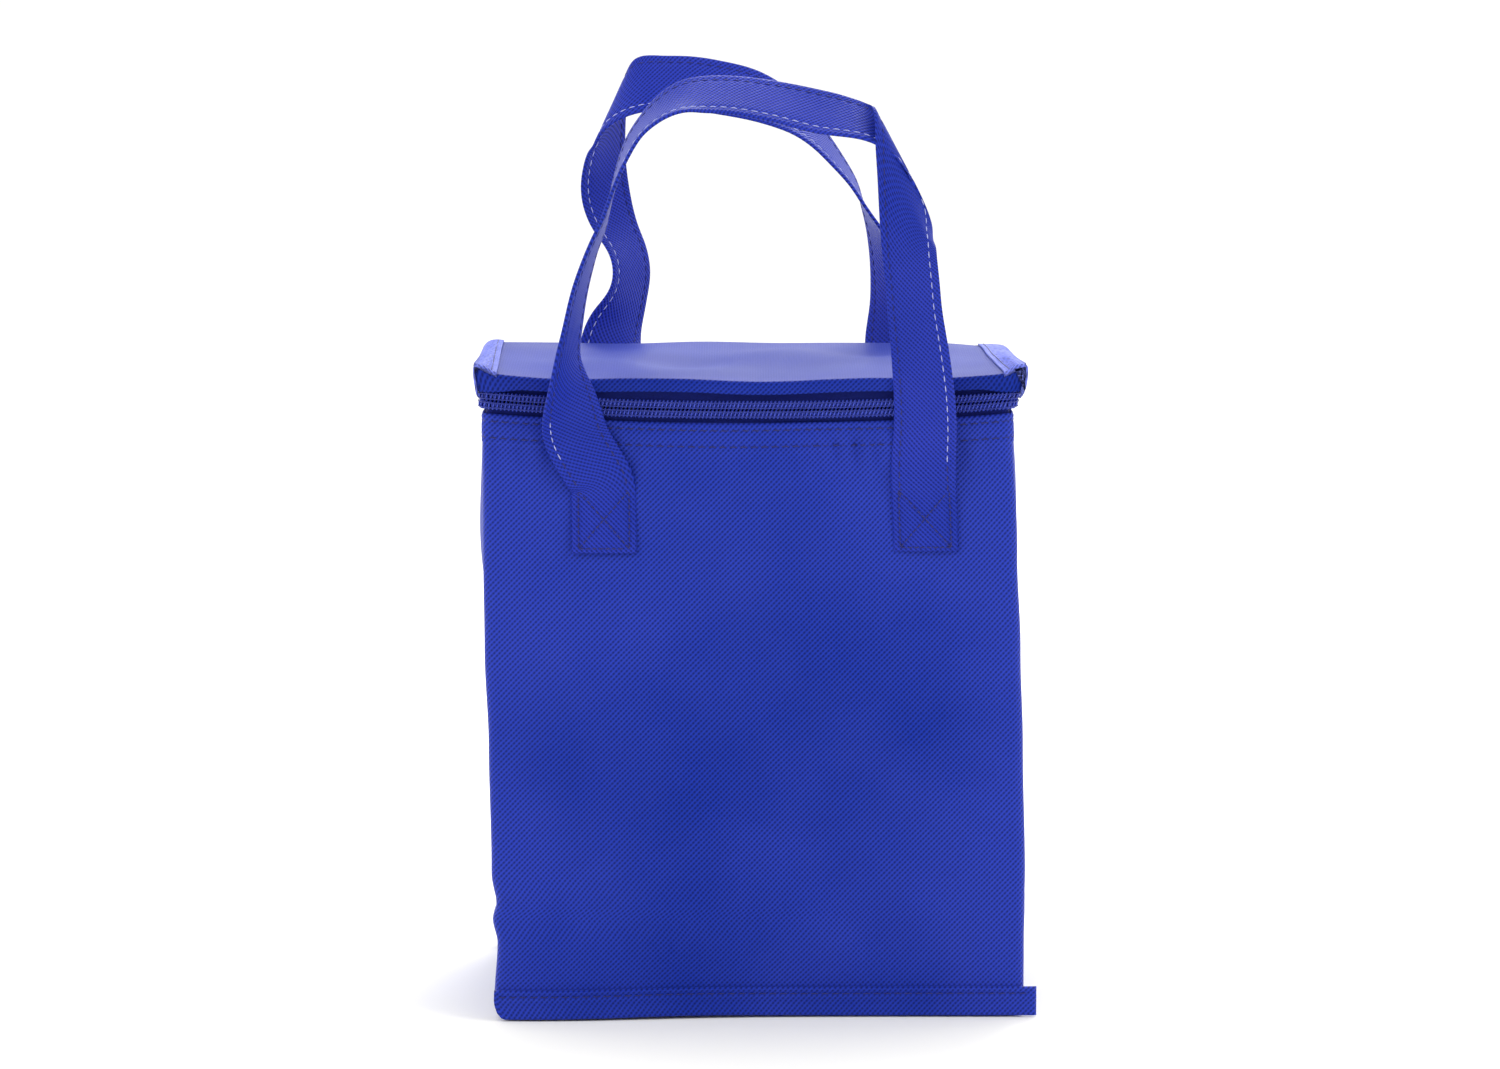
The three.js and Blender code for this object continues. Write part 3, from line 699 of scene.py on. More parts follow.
def band_piece(name, side):
    """A flat strip with rounded long edges and a sewn channel under its top edge, along the foot
    of the front (side -1) or of the back (side 1)."""
    long = np.linspace(-BAND_END, BAND_END + TAB, 170)
    from_edge = np.minimum(band_across, band_width - band_across)
    share = np.clip(from_edge / BAND_ROUND, 0, 1)
    bulge = BAND_THICK * np.sqrt(share * (2 - share))
    channel = 0.5 * bell(band_across, band_width - BAND_SEAM, 0.8)
    bulge = bulge - channel - 0.35 * bell(band_across, 5.2, 2.0)
    pull = 1 - 0.22 * np.cos(2 * pi * long / STITCH_PITCH)
    outer = 0.25 + np.maximum(bulge, 0.12)[:, None] * (1 + 0.15 * (pull[None] - 1))
    inner = np.full_like(outer, 0.2)
    loop = np.concatenate([outer, inner[::-1]])
    height = np.concatenate([band_across, band_across[::-1]])[:, None] + BAND_LOW
    grid = np.empty(loop.shape + (3,))
    grid[..., 0] = -side * long[None]
    tip = 1 - 0.6 * ramp(np.abs(long), BAND_END + TAB - 1.5, BAND_END + TAB)
    grid[..., 1] = side * (HALF_DEPTH + loop * tip[None])
    past_end = ((-BAND_END + BAND_CORNER - long) / BAND_CORNER).clip(0, 1)
    round_off = 2.5 * (1 - np.sqrt(np.clip(1 - past_end**2, 0, 1)))
    grid[..., 2] = height + (round_off[None] * (1 - (height - BAND_LOW) / band_width))
    around_run = np.concatenate([band_across, band_width + band_across])
    band = woven_grid(
        name, slouch(grid).transpose(1, 0, 2), around_run, long, body_material,
        around=True, capped=True,
    )
    return band, long


band_rows = []
for name, side in (("bottom_band_front", -1), ("bottom_band_back", 1)):
    band, band_long = band_piece(name, side)
    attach(band, "shell")
    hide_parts("base_seam_band_front" if side < 0 else "base_seam_band_back")
    path = np.empty((len(band_long), 3))
    path[:, 0] = -side * band_long
    path[:, 1] = side * (HALF_DEPTH + BAND_THICK - ROW_OFFSET)
    path[:, 2] = BAND_HIGH - BAND_SEAM
    band_rows.append(sewn_row(slouch(path), np.tile([0.0, side, 0.0], (len(path), 1)), skip=2.0))
band_stitches = stitches("band_stitches", *joined(band_rows), dark_thread, radius=0.2)
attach(band_stitches, "shell")

# ---- The zip -----------------------------------------------------------------------------
# A nylon coil zip: two woven tapes, each with a coil of heavy thread sewn to its edge. One goes
# round the mouth and one round the lid, from one back corner to the other.
ZIP_BACK = 68.8
COIL_BACK = 56.3
TAPE, TAPE_INSET = 0.7, 1.35
TAPE_RIB = 0.18
COIL_PITCH, WIRE = 1.6, 0.36
COIL_REACH, COIL_OUT = 1.15, 0.2
SEWING_AT, SEWING = 0.62, 0.22


def zip_path(inset, back, step, radius=None):
    """The zip's route in plan: from the back of the left wall, round the front, to the back of
    the right wall. With it, the length run at each point."""
    a, b = HALF_WIDTH - inset, HALF_DEPTH - inset
    r = max(CORNER - inset, 1.2) if radius is None else radius
    path = np.vstack([
        line((-a, back), (-a, r - b), step),
        turn((r - a, r - b), r, 180),
        line((r - a, -b), (a - r, -b), step),
        turn((a - r, r - b), r, 270),
        line((a, r - b), (a, back), step),
        [[a, back]],
    ])
    return path, lengths(path)


tape_material, tape_tree, tape_shader = finish(
    "zip_tape", roughness=0.7, specular=0.15, sheen=0.25
)
tape_cut = node(tape_tree, "UVMap", uv_map="cut").outputs[0]
tape_ribs = [
    node(
        tape_tree, "TexWave", [("Vector", tape_cut)],
        bands_direction=way, Scale=1 / (2 * pi * TAPE_RIB * MILLIMETRE),
    ).outputs["Fac"]
    for way in "XY"
]
tape_weave = combine(tape_tree, "MULTIPLY", *tape_ribs)
dress(
    tape_tree, tape_shader, tint(tape_tree, tape_weave, linear(4, 18, 92), linear(16, 36, 144)),
    bump(tape_tree, tape_weave, 0.6, 0.00015),
)


def clouded(name, dark, light, scale, detail, smoothest):
    """A smooth moulded or painted surface, faintly clouded in its colour, gloss and bump."""
    material, tree, shader = finish(name, roughness=0.34, specular=0.45)
    place = node(tree, "TexCoord").outputs["Object"]
    cloud = noise(tree, place, scale, detail).outputs["Fac"]
    dress(
        tree, shader, tint(tree, cloud, dark, light), bump(tree, cloud, 0.3, 0.0001),
        scaled(tree, cloud, smoothest, 0.5),
    )
    return material


coil_material = clouded(
    "zip_coil", linear(34, 52, 166), linear(66, 86, 208), scale=220.0, detail=2.0, smoothest=0.3
)
sewing_thread = thread_material("zip_thread", linear(40, 54, 150))
LID_FRONT, LID_BACK, LID_HALF = -72.0, 70.8, 110.3
BACK_IN, BACK_DOWN = 3.0, 2.2


def settle(points):
    """How the lid lies: its front corners lifted, its right back corner drawn in and down, its
    middle sunk a little, and slow waves from side to side that fade towards its ends."""
    x, y, z = points[..., 0], points[..., 1], points[..., 2]
    side = np.clip(np.abs(x) / LID_HALF, 0, 1.04)
    front = np.clip((LID_BACK - y) / (LID_BACK - LID_FRONT), 0, 1.02)
    middle = np.clip(1 - side**2, 0, 1)
    across = np.sin(pi * np.clip(front, 0, 1))
    waves = (
        0.9 * np.sin(x / 17 + y / 30)
        + 0.6 * np.sin(x / 9.5 - y / 21 + 1.0)
        + 0.35 * np.sin(y / 10 + x / 40)
    )
    back_corner = ramp(x, 70, LID_HALF) * (1 - front)
    droop = front**2 * (0.3 + 1.7 * ramp(np.abs(x), 45, 85))
    raised = 1.5 * side**14 + 2.4 * ramp(np.abs(x), 101.5, 110.5)
    curl = ramp(z, 252.5, 256.5) * raised * front**2
    lip_end = 2.0 * ramp(np.abs(x), 90, 105) * (1 - ramp(z, 252.5, 257)) * front**2
    tuck = 1.6 * ramp(np.abs(x), 103, 110.3) * (1 - ramp(z, 252, 256.8)) * front**2
    moved = points.copy()
    moved[..., 0] = x - BACK_IN * back_corner - tuck * np.sign(x)
    moved[..., 2] = (
        z - droop + curl - lip_end + middle * (0.5 * across - 0.4)
        + waves * middle**0.5 * (0.35 + across) - BACK_DOWN * back_corner
    )
    return slouch(moved)


def zip_half(word, tape_low, tape_high, coil_middle, coil_rise, phase, body):
    """One side of the zip: its tape, a level strip along the route, and its coil, a wire wound
    once in each pitch round a line along the tape's edge."""
    route, run = zip_path(TAPE_INSET, ZIP_BACK, 2.0)
    rows = np.linspace(tape_low, tape_high, 9)
    grid = upright(route, rows)
    points = slouch(grid)
    if body == "lid":
        points = points + ramp(grid[..., 2:], 249, 255) * (settle(grid) - points)
    tape = woven_grid(
        "zip_tape_" + word + "_cloth", points, run, rows, tape_material, modifiers=[wall(TAPE)]
    )
    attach(tape, body)
    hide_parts("zip_tape_" + word)
    line_path, line_run = zip_path(-COIL_OUT, COIL_BACK, 1.0)
    turns = int(line_run[-1] / COIL_PITCH)
    where = np.linspace(0, turns * COIL_PITCH, turns * 14 + 1)
    face = outward(line_path, closed=False)
    middle = np.stack([np.interp(where, line_run, line_path[:, k]) for k in (0, 1)], -1)
    side = unit(np.stack([np.interp(where, line_run, face[:, k]) for k in (0, 1)], -1))
    angle = 2 * pi * where / COIL_PITCH + phase
    wire = np.empty((len(where), 3))
    wire[:, :2] = middle + side * (COIL_REACH * np.cos(angle))[:, None]
    wire[:, 2] = coil_middle + coil_rise * np.sin(angle)
    wire = slouch(wire)
    along = unit(np.gradient(wire, axis=0))
    level = unit(np.cross(along, in_space(side)))
    other = np.cross(along, level)
    around = np.arange(6) * pi / 3
    cosine, sine = np.cos(around)[None, :, None], np.sin(around)[None, :, None]
    ring = level[:, None] * cosine + other[:, None] * sine
    coil = woven_grid(
        "zip_coil_" + word + "_wire", wire[:, None] + WIRE * ring, around, where, coil_material,
        around=True, capped=True,
    )
    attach(coil, body)
    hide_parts("zip_coil_" + word)
    cord_path, cord_run = zip_path(-COIL_OUT - COIL_REACH - WIRE, COIL_BACK, 1.6)
    cord_face = unit(in_space(outward(cord_path, closed=False)))
    cord_rise = np.array([0.0, 0.0, 1.0])
    twist = 1 + 0.2 * np.cos(2 * pi * cord_run / COIL_PITCH)
    ring = SEWING * twist[:, None, None] * (cord_face[:, None] * cosine + cord_rise * sine)
    for edge, edge_word in ((-SEWING_AT, "_foot"), (SEWING_AT, "_top")):
        cord = slouch(in_space(cord_path, coil_middle + edge * coil_rise))
        sewing = woven_grid(
            "zip_sewing_" + word + edge_word, cord[:, None] + ring, around, cord_run,
            sewing_thread, around=True, capped=True,
        )
        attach(sewing, body)


zip_half(
    "lower", tape_low=228.0, tape_high=244.4, coil_middle=243.45, coil_rise=1.6, phase=0.0,
    body="shell",
)
zip_half(
    "upper", tape_low=246.0, tape_high=256.2, coil_middle=246.95, coil_rise=1.6, phase=pi,
    body="lid",
)

metal_paint = clouded(
    "slider_paint", linear(20, 30, 110), linear(46, 60, 160), scale=380.0, detail=5.0,
    smoothest=0.25,
)


def slab(name, outline, low, high, round_over, material, hole=None):
    """A cast or moulded plate across x: its outline in y and z, carried from low to high with
    rounded rims. With a hole, the plate is a ring between the two outlines."""
    t = np.linspace(0, 1, 4)
    rim = round_over * (1 - np.sqrt(1 - (1 - t) ** 2))
    depth = np.concatenate([low + round_over * t, high - round_over * t[::-1]])
    shrink = np.concatenate([rim, rim[::-1]])
    centre = outline.mean(0)

    def drawn(shape, amount):
        away = unit(shape - centre)
        return shape[None] - amount[:, None, None] * away[None]

    sides, levels = drawn(outline, shrink), depth
    if hole is not None:
        sides = np.concatenate([sides, drawn(hole, -shrink[::-1])])
        levels = np.concatenate([depth, depth[::-1]])
    grid = np.empty(sides.shape[:2] + (3,))
    grid[..., 0] = levels[:, None]
    grid[..., 1:] = sides
    if hole is None:
        run = np.arange(len(outline)) * 0.2
        return woven_grid(name, grid, run, levels, material, around=True, capped=True)
    grid = grid.transpose(1, 0, 2)
    index = np.arange(grid[..., 0].size).reshape(grid.shape[:2])
    faces = [quads(np.vstack([index, index[:1]]), around=True)]
    return build(name, grid.reshape(-1, 3), faces, None, material, closed=True)


def rounded_shape(y_middle, z_middle, half_long, half_high, power=3.5, taper=0.0, count=40):
    """A rounded rectangle in y and z, as a superellipse, narrowed by taper towards high y."""
    angle = np.arange(count) * 2 * pi / count
    c, s = np.cos(angle), np.sin(angle)
    y = np.sign(c) * np.abs(c) ** (2 / power)
    z = np.sign(s) * np.abs(s) ** (2 / power) * (1 - taper * (y + 1) / 2)
    return np.stack([y_middle + half_long * y, z_middle + half_high * z], -1)


# The slider: two cast plates joined by a wedge between the coils, with a small arched bridge
# outside that holds the hanging pull. It waits at the right back corner while the bag is shut.
slider_low, slider_high = (np.array(corner) * 1000 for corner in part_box("zip_slider"))
pull_low, pull_high = (np.array(corner) * 1000 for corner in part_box("zip_pull"))
slider_y, slider_z = ((slider_low + slider_high) / 2)[1:]
slider_half = (slider_high - slider_low)[1:] / 2
PLATE, PLATE_FACE = 1.2, 109.1
ACROSS_PLATE = PLATE_FACE + PLATE / 2
slider_parts = [
    slab(name, rounded_shape(slider_y + along, slider_z, *shape), low, high, rim, metal_paint)
    for name, along, shape, low, high, rim in (
        ("slider_outer_plate", 0.0, (*slider_half, 3.5, 0.22), PLATE_FACE,
         PLATE_FACE + PLATE, 0.45),
        ("slider_inner_plate", 0.0, (*slider_half, 3.5, 0.22), slider_low[0],
         slider_low[0] + PLATE, 0.4),
        ("slider_wedge", 2.4, (1.5, 0.5, 2.5), slider_low[0] + PLATE / 2, ACROSS_PLATE, 0.1),
        ("slider_crown", -2.6, (0.8, 1.1, 3.0), ACROSS_PLATE, slider_high[0], 0.35),
        ("slider_crown_foot", 3.0, (0.8, 1.1, 3.0), ACROSS_PLATE, slider_high[0], 0.35),
        ("slider_crown_roof", 0.2, (3.5, 0.9, 3.0), slider_high[0] - 0.55,
         slider_high[0] + 0.15, 0.25),
    )
]
for part in slider_parts:
    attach(part, "slider")
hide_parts("zip_slider")

pull_middle = (pull_low + pull_high) / 2
pull_half = (pull_high - pull_low) / 2
pull_z = pull_middle[2]
ring_y = pull_high[1] - 4.0
ring_long, ring_high, ring_wire = 4.2, pull_half[2] * 0.95, 1.1
tab_end = pull_low[1]
tab_start = ring_y - ring_long
pull_ring = slab(
    "pull_ring", rounded_shape(ring_y - 0.2, pull_z, ring_long, ring_high, 3.0),
    pull_low[0] + 0.1, pull_high[0] - 0.1, 0.35, metal_paint,
    hole=rounded_shape(ring_y - 0.2, pull_z, ring_long - ring_wire, ring_high - ring_wire, 3.0),
)
tab_middle, tab_half = (tab_start + tab_end) / 2, (tab_start - tab_end) / 2
pull_tab = slab(
    "pull_tab", rounded_shape(tab_middle, pull_z, tab_half, pull_half[2], 4.0),
    pull_low[0], pull_high[0], 0.35, metal_paint,
    hole=rounded_shape(tab_end + 3.0, pull_z, 1.4, 1.0, 2.4),
)
for part in (pull_ring, pull_tab):
    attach(part, "pull")
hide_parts("zip_pull")

# The four end stops stay as the frame gives them: small staples of the same painted metal.
for stop in ("lower_left", "lower_right", "upper_left", "upper_right"):
    stop_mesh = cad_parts["zip_stop_" + stop].data
    stop_mesh.materials.clear()
    stop_mesh.materials.append(metal_paint)

# ---- The lid -----------------------------------------------------------------------------
# A flat lid of the same cloth over a foam sheet and foil. Its front and side edges turn down
# over the zip, and its two ends are bound by folded strips. It rides on the back hinge cloth.
LID_TOP = 258.0
RIM_FOOT, RIM_THICK = 252.6, 0.8
RIM_OUTER = 109.5
RIM_TOP, RIM_WIDTH = 256.9, 4.2
ROLL = 1.6
LID_CLOTH = 0.9

lid_material = bonded_cloth(
    "lid_cloth", linear(6, 34, 126), linear(32, 50, 152), sheen=0.24, specular=0.05,
    mottle=16.0, dot_depth=0.12,
)
arc = np.linspace(0, pi / 2, 7)
lip_level = np.linspace(RIM_FOOT, LID_TOP - ROLL, 8)[:-1]
lip_in = 0.7 * (1 - ramp(lip_level, RIM_FOOT - 0.5, LID_TOP - ROLL))
lid_profile = np.vstack([
    np.stack([LID_FRONT + lip_in, lip_level], -1),
    np.stack([LID_FRONT + ROLL * (1 - np.cos(arc)), LID_TOP - ROLL * (1 - np.sin(arc))], -1),
    np.stack([np.linspace(LID_FRONT + ROLL, LID_BACK, 84)[1:], np.full(83, LID_TOP)], -1),
])
lid_run = lengths(lid_profile)
lid_across = np.linspace(-LID_HALF, LID_HALF, 150)
lid_grid = np.empty((len(lid_profile), len(lid_across), 3))
lid_grid[..., 0] = lid_across[None]
lid_grid[..., 1:] = lid_profile[:, None]
lid_cloth = woven_grid(
    "lid_top_cloth", settle(lid_grid), lid_across, lid_run, lid_material,
    modifiers=[wall(LID_CLOTH)],
)
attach(lid_cloth, "lid")
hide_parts("lid_panel")


def strip(name, path, across, lift, width, thick, material, run, groove=None):
    """A flat strip along a path: an oval-edged section, width by thick, set square to the path
    by its across and lift directions, with a sewn groove near each long edge if asked."""
    half = width / 2
    s = np.linspace(-1, 1, 27)
    flat = half * np.sign(s) * (1 - (1 - np.abs(s)) ** 1.35)
    past = np.clip((np.abs(flat) - half + thick / 2) / (thick / 2), 0, 1)
    edge = np.sqrt(np.clip(1 - past**2, 0, 1))
    depth = thick / 2 * np.maximum(edge, 0.02)
    if groove is not None:
        depth = depth * (1 - 0.3 * bell(np.abs(flat), groove, 0.9))
    side = np.concatenate([flat, flat[::-1]])[None, :, None]
    up = np.concatenate([depth, -depth[::-1]])[None, :, None]
    grid = path[:, None] + side * across[:, None] + up * lift[:, None]
    around_run = np.concatenate([flat, 2 * half + flat])
    return woven_grid(name, grid, around_run, run, material, around=True, capped=True)


rim_path, rim_run = zip_path(
    HALF_WIDTH - RIM_OUTER + 1.0 + RIM_THICK / 2, LID_BACK - 0.3, 2.0, radius=2.2
)
rim_points = in_space(rim_path, (RIM_FOOT + RIM_TOP) / 2)
rim_up = np.tile([0.0, 0.0, 1.0], (len(rim_path), 1))
rim_out = in_space(outward(rim_path, closed=False))
rim_cloth = strip(
    "lid_rim_cloth", settle(rim_points), rim_up, rim_out, RIM_WIDTH, RIM_THICK, body_material,
    rim_run,
)
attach(rim_cloth, "lid")
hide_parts("lid_rim")


def lid_layer(name, low, high, half, front, back, material, step, creased):
    """A level sheet inside the lid, low to high, with film creases where asked."""
    xs = np.linspace(-half, half, int(2 * half / step))
    ys = np.linspace(front, back, int((back - front) / step))
    grid = np.empty((len(ys), len(xs), 3))
    grid[..., 0], grid[..., 1] = xs[None], ys[:, None]
    grid[..., 2] = high
    if creased:
        grid[..., 2] -= 0.45 * crinkle(grid[..., 0], grid[..., 1])
    return woven_grid(name, settle(grid), xs, ys, material, modifiers=[wall(high - low)])


lid_foam = lid_layer(
    "lid_foam", low=253.7, high=256.8, half=105.6, front=-67.6, back=66.5,
    material=foam_material, step=4.0, creased=False,
)
lid_foil = lid_layer(
    "lid_foil", low=253.0, high=253.4, half=104.1, front=-66.6, back=66.6,
    material=foil_material, step=2.2, creased=True,
)
for piece, cad_node, slot in (
    (lid_foam, "lid_insulation", "foam"), (lid_foil, "lid_lining", "foil"),
):
    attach(piece, "lid")
    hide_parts(cad_node)

# The end bindings: a strip of cloth folded over each end of the lid and sewn through. The
# sewing gathers it into small ribs, and its front corner curls up and outwards.
BINDING = 0.8
LOBE_REACH, LOBE_RISE = 5.4, 4.7
BINDING_ROW = 2.2
# The binding is the same cloth as the lid, drawn much paler: painted highlight for the light its
# raised fold catches.
binding_lit_material = bonded_cloth(
    "binding_cloth_painted_light", linear(62, 76, 172), linear(116, 126, 216), sheen=0.6, specular=0.1,
    mottle=60.0, dot_depth=0.12,
)
binding_rows = []
for side, word in ((-1, "left"), (1, "right")):
    along = np.linspace(LID_FRONT, LID_BACK, 150)
    far = (along - LID_FRONT) / (LID_BACK - LID_FRONT)
    inner = (101.6 - 3.0 * far) if side > 0 else (101.2 + 2.6 * far)
    tip = (111.9 if side > 0 else 111.4) + 1.5 * far
    angle = np.linspace(0, 0.7 * pi, 16)
    to_front = np.clip(1 - (along - LID_FRONT) / ROLL, 0, 1)
    over_roll = ROLL * (1 - np.sqrt(1 - to_front**2))
    top = np.linspace(0, 1, 14)[:-1]
    bend_x = inner + (tip - LOBE_REACH - inner) * np.concatenate([top, np.ones(16)])[:, None]
    bend_z = np.full(bend_x.shape, LID_TOP + 0.05 + BINDING) - 0.9 * over_roll
    bend_x[13:] += LOBE_REACH * np.sin(angle)[:, None]
    bend_z[13:] -= LOBE_RISE * (1 - np.cos(angle))[:, None]
    ribs = 0.3 * np.sin(2 * pi * along / 3.7 + 0.9 * np.sin(along / 9))
    across = np.linspace(0, 1, len(bend_x))[:, None]
    bend_z = bend_z + ribs * bell(across, 0.35, 0.25) + 0.5 * bell(across, 0.4, 0.15) * (1 - far)
    binding_run = lengths(np.stack([bend_x[:, 0], bend_z[:, 0]], -1))
    under_x = np.stack([np.full(len(along), RIM_OUTER + 0.95)] * 2 + [inner])
    under_z = np.stack([bend_z[-1], *[np.full(len(along), LID_TOP + 0.05) - 0.9 * over_roll] * 2])
    grid = np.empty((len(bend_x) + 3, len(along), 3))
    grid[..., 0] = side * np.concatenate([bend_x, under_x])
    grid[..., 1] = along - 0.5 * (1 - ramp(along, LID_FRONT, LID_FRONT + 2))
    grid[..., 2] = np.concatenate([bend_z, under_z])
    section_run = np.concatenate([binding_run, binding_run[-1] + np.array([0.5, 6.0, 14.0])])
    binding = woven_grid(
        "lid_binding_" + word, settle(grid).transpose(1, 0, 2), section_run, along,
        binding_lit_material, around=True, capped=True,
    )
    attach(binding, "lid")
    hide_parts("lid_end_band_" + word)
    row = in_space(
        np.stack([side * (inner + BINDING_ROW), along], -1), LID_TOP + ROW_OFFSET + BINDING
    )
    up = np.tile([0, 0, 1.0], (len(row), 1))
    binding_rows.append(sewn_row(settle(row), up, pitch=3.6, length=2.6, skip=2.0))
binding_stitches = stitches(
    "binding_stitches", *joined(binding_rows), dark_thread, radius=0.22
)
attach(binding_stitches, "lid")

# ---- The hinge cloth ---------------------------------------------------------------------
# A plain strip of the body cloth joins the back wall's mouth to the lid's back edge. It is
# It is sewn to both and has no hardware: in the bag the cloth itself bends when the lid turns
# back; here it is one fixed piece in its shut shape, carried by neither the shell nor the lid.
HINGE_HALF, HINGE_FACE, HINGE_CLOTH = 107.0, 69.9, 0.9
HINGE_LOW, HINGE_HIGH = 239.4, 256.6

hinge_rows = np.linspace(HINGE_LOW, HINGE_HIGH, 26)
hinge_across = np.linspace(HINGE_HALF, -HINGE_HALF, 90)
hinge_grid = np.empty((len(hinge_rows), len(hinge_across), 3))
hinge_grid[..., 0] = hinge_across[None]
hinge_grid[..., 1] = HINGE_FACE + 0.5 * bell(hinge_rows, 248, 4)[:, None]
hinge_grid[..., 2] = hinge_rows[:, None]
hinge_cloth = woven_grid(
    "hinge_cloth", slouch(hinge_grid), hinge_across, hinge_rows, body_material,
    modifiers=[wall(HINGE_CLOTH)],
)
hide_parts("hinge_strip")
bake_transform(hinge_cloth)

# ---- The handles -------------------------------------------------------------------------
# Each is one long strip of the cloth folded in three and sewn along both edges, so it is soft
# but keeps its curl. It stands up from a sewn patch at each end, twists, and folds over itself.
STRAP_WIDTH, STRAP_THICK = 26.0, 1.5
STRAP_ROW = 9.6
PATCH_FOOT, PATCH_TOP = 186.0, 213.0
PATCH_FACE = 71.1
STRAP_STEP = 1.6
STRAP_PITCH, STRAP_STITCH = 4.2, 2.7
STRAP_THREAD = 0.24

strap_material = bonded_cloth(
    "strap_cloth", linear(12, 38, 142), linear(40, 54, 164), sheen=0.05, specular=0.1,
    mottle=14.0, pitch=1.4,
)

# Each handle as stations from its left patch to its right one: middle x, y, z, then the
# direction across the strip from its dark-sewn edge to its pale-sewn edge, then, where it is
# folded over itself, how slanted the fold is.
FRONT_STATIONS = (
    (-58.6, -71.9, 213, -1, 0, 0), (-64, -74, 224, -0.97, -0.06, -0.24),
    (-69.4, -75.4, 234.5, -0.96, -0.06, -0.28), (-71.4, -80.2, 243.7, -0.9, -0.4, -0.19),
    (-72.6, -85.8, 256, -0.58, -0.79, -0.1), (-72.6, -87.5, 266, -0.34, -0.93, 0.04),
    (-70.4, -86.3, 280, -0.24, -0.96, 0.1), (-67.1, -82.5, 296, -0.18, -0.97, 0.09),
    (-62.9, -78.7, 309, -0.14, -0.98, 0.03), (-58.0, -72.8, 321, -0.05, -0.99, 0.1),
    (-54.4, -68, 333.6, 0.02, -1, 0.02), (-50.6, -63.8, 344.5, 0.14, -0.98, 0.14),
    (-45, -59.5, 355.5, 0.26, -0.96, 0.1), (-37, -56.8, 363.5, 0.26, -0.95, -0.12),
    (-26, -53.4, 369.2, 0.05, -0.89, -0.45), (-13.4, -51.1, 370.2, 0, -0.86, -0.5),
    (8.6, -50.5, 367.6, 0, -0.82, -0.56), (28, -50.8, 363.2, 0, -0.78, -0.62),
    (38, -52.2, 361.3, 0.08, -0.8, -0.55, 0.2), (46.5, -54.5, 359.5, 0.25, -0.8, -0.48, 0.8),
    (52.8, -57, 356.2, 0.42, -0.6, -0.74, 1), (57.5, -59.5, 350, 0.65, -0.3, -1.2, 1),
    (61, -63, 341.5, 0.9, -0.05, -1.75, 1), (61.6, -67.5, 331, 0.87, -0.15, -1.3, 1),
    (62.6, -70.5, 321, 0.86, -0.42, -0.85, 0.9), (63.4, -73, 309, 0.83, -0.57, -0.45, 0.5),
    (64.8, -76, 296, 0.79, -0.58, -0.16, 0.15), (65.6, -77.5, 286, 0.82, -0.57, 0.02),
    (67.9, -79, 268, 0.87, -0.46, 0.12), (69.8, -77, 248, 0.93, -0.35, 0.1),
    (70, -74, 228, 0.97, -0.2, 0.05), (70.4, -71.9, 213, 1, 0, 0),
)
BACK_STATIONS = (
    (-60, 72, 213, -1, 0, 0), (-59.5, 77, 235, -0.95, 0.25, 0), (-58.7, 85, 257, -0.8, -0.2, 0.06),
    (-56.2, 88.5, 264, -0.72, -0.5, 0.07), (-53, 91.5, 271.6, -0.62, -0.75, 0.07),
    (-50.4, 95, 286.6, -0.57, -0.82, 0.08), (-52.4, 98, 295, -0.62, -0.79, 0.07),
    (-56.8, 100.5, 303.6, -0.74, -0.67, 0.09), (-59.3, 101, 309.7, -0.75, -0.66, 0.06),
    (-61.9, 100, 321.5, -0.78, -0.62, 0.02), (-61.9, 98.5, 330.6, -0.66, -0.75, -0.1, 0.1),
    (-61, 97.3, 339, -0.56, -0.66, -0.42, 0.45), (-59.5, 95, 349, -0.54, -0.42, -0.88, 1),
    (-57.6, 91, 357.6, -0.5, -0.2, -1.14, 1), (-52, 87.5, 363.5, -0.4, -0.3, -1.05, 1),
    (-44, 86, 366, -0.25, -0.48, -0.9, 0.6), (-36, 86, 366.2, -0.06, -0.52, -0.84, 0.1),
    (-25.5, 87, 366, 0, -0.51, -0.86), (-13, 88, 364.2, 0, -0.54, -0.84),
    (2, 89, 360.6, 0.1, -0.57, -0.8), (17.3, 91, 353, 0.04, -0.77, -0.63),
    (30.7, 92.5, 340.8, -0.2, -0.94, -0.15), (36.5, 93, 333.6, -0.19, -0.98, -0.06),
    (42.8, 93, 325, -0.14, -0.99, 0.03), (47.5, 92, 315.6, 0.02, -1, 0),
    (53, 93, 304, 0.25, -0.97, 0), (57.3, 93.5, 292, 0.5, -0.87, 0),
    (60.6, 91, 274, 0.72, -0.69, 0), (61.1, 86.5, 257, 0.86, -0.3, 0),
    (64.5, 78, 235, 0.97, 0.2, 0), (65.5, 72, 213, 1, 0, 0),
)


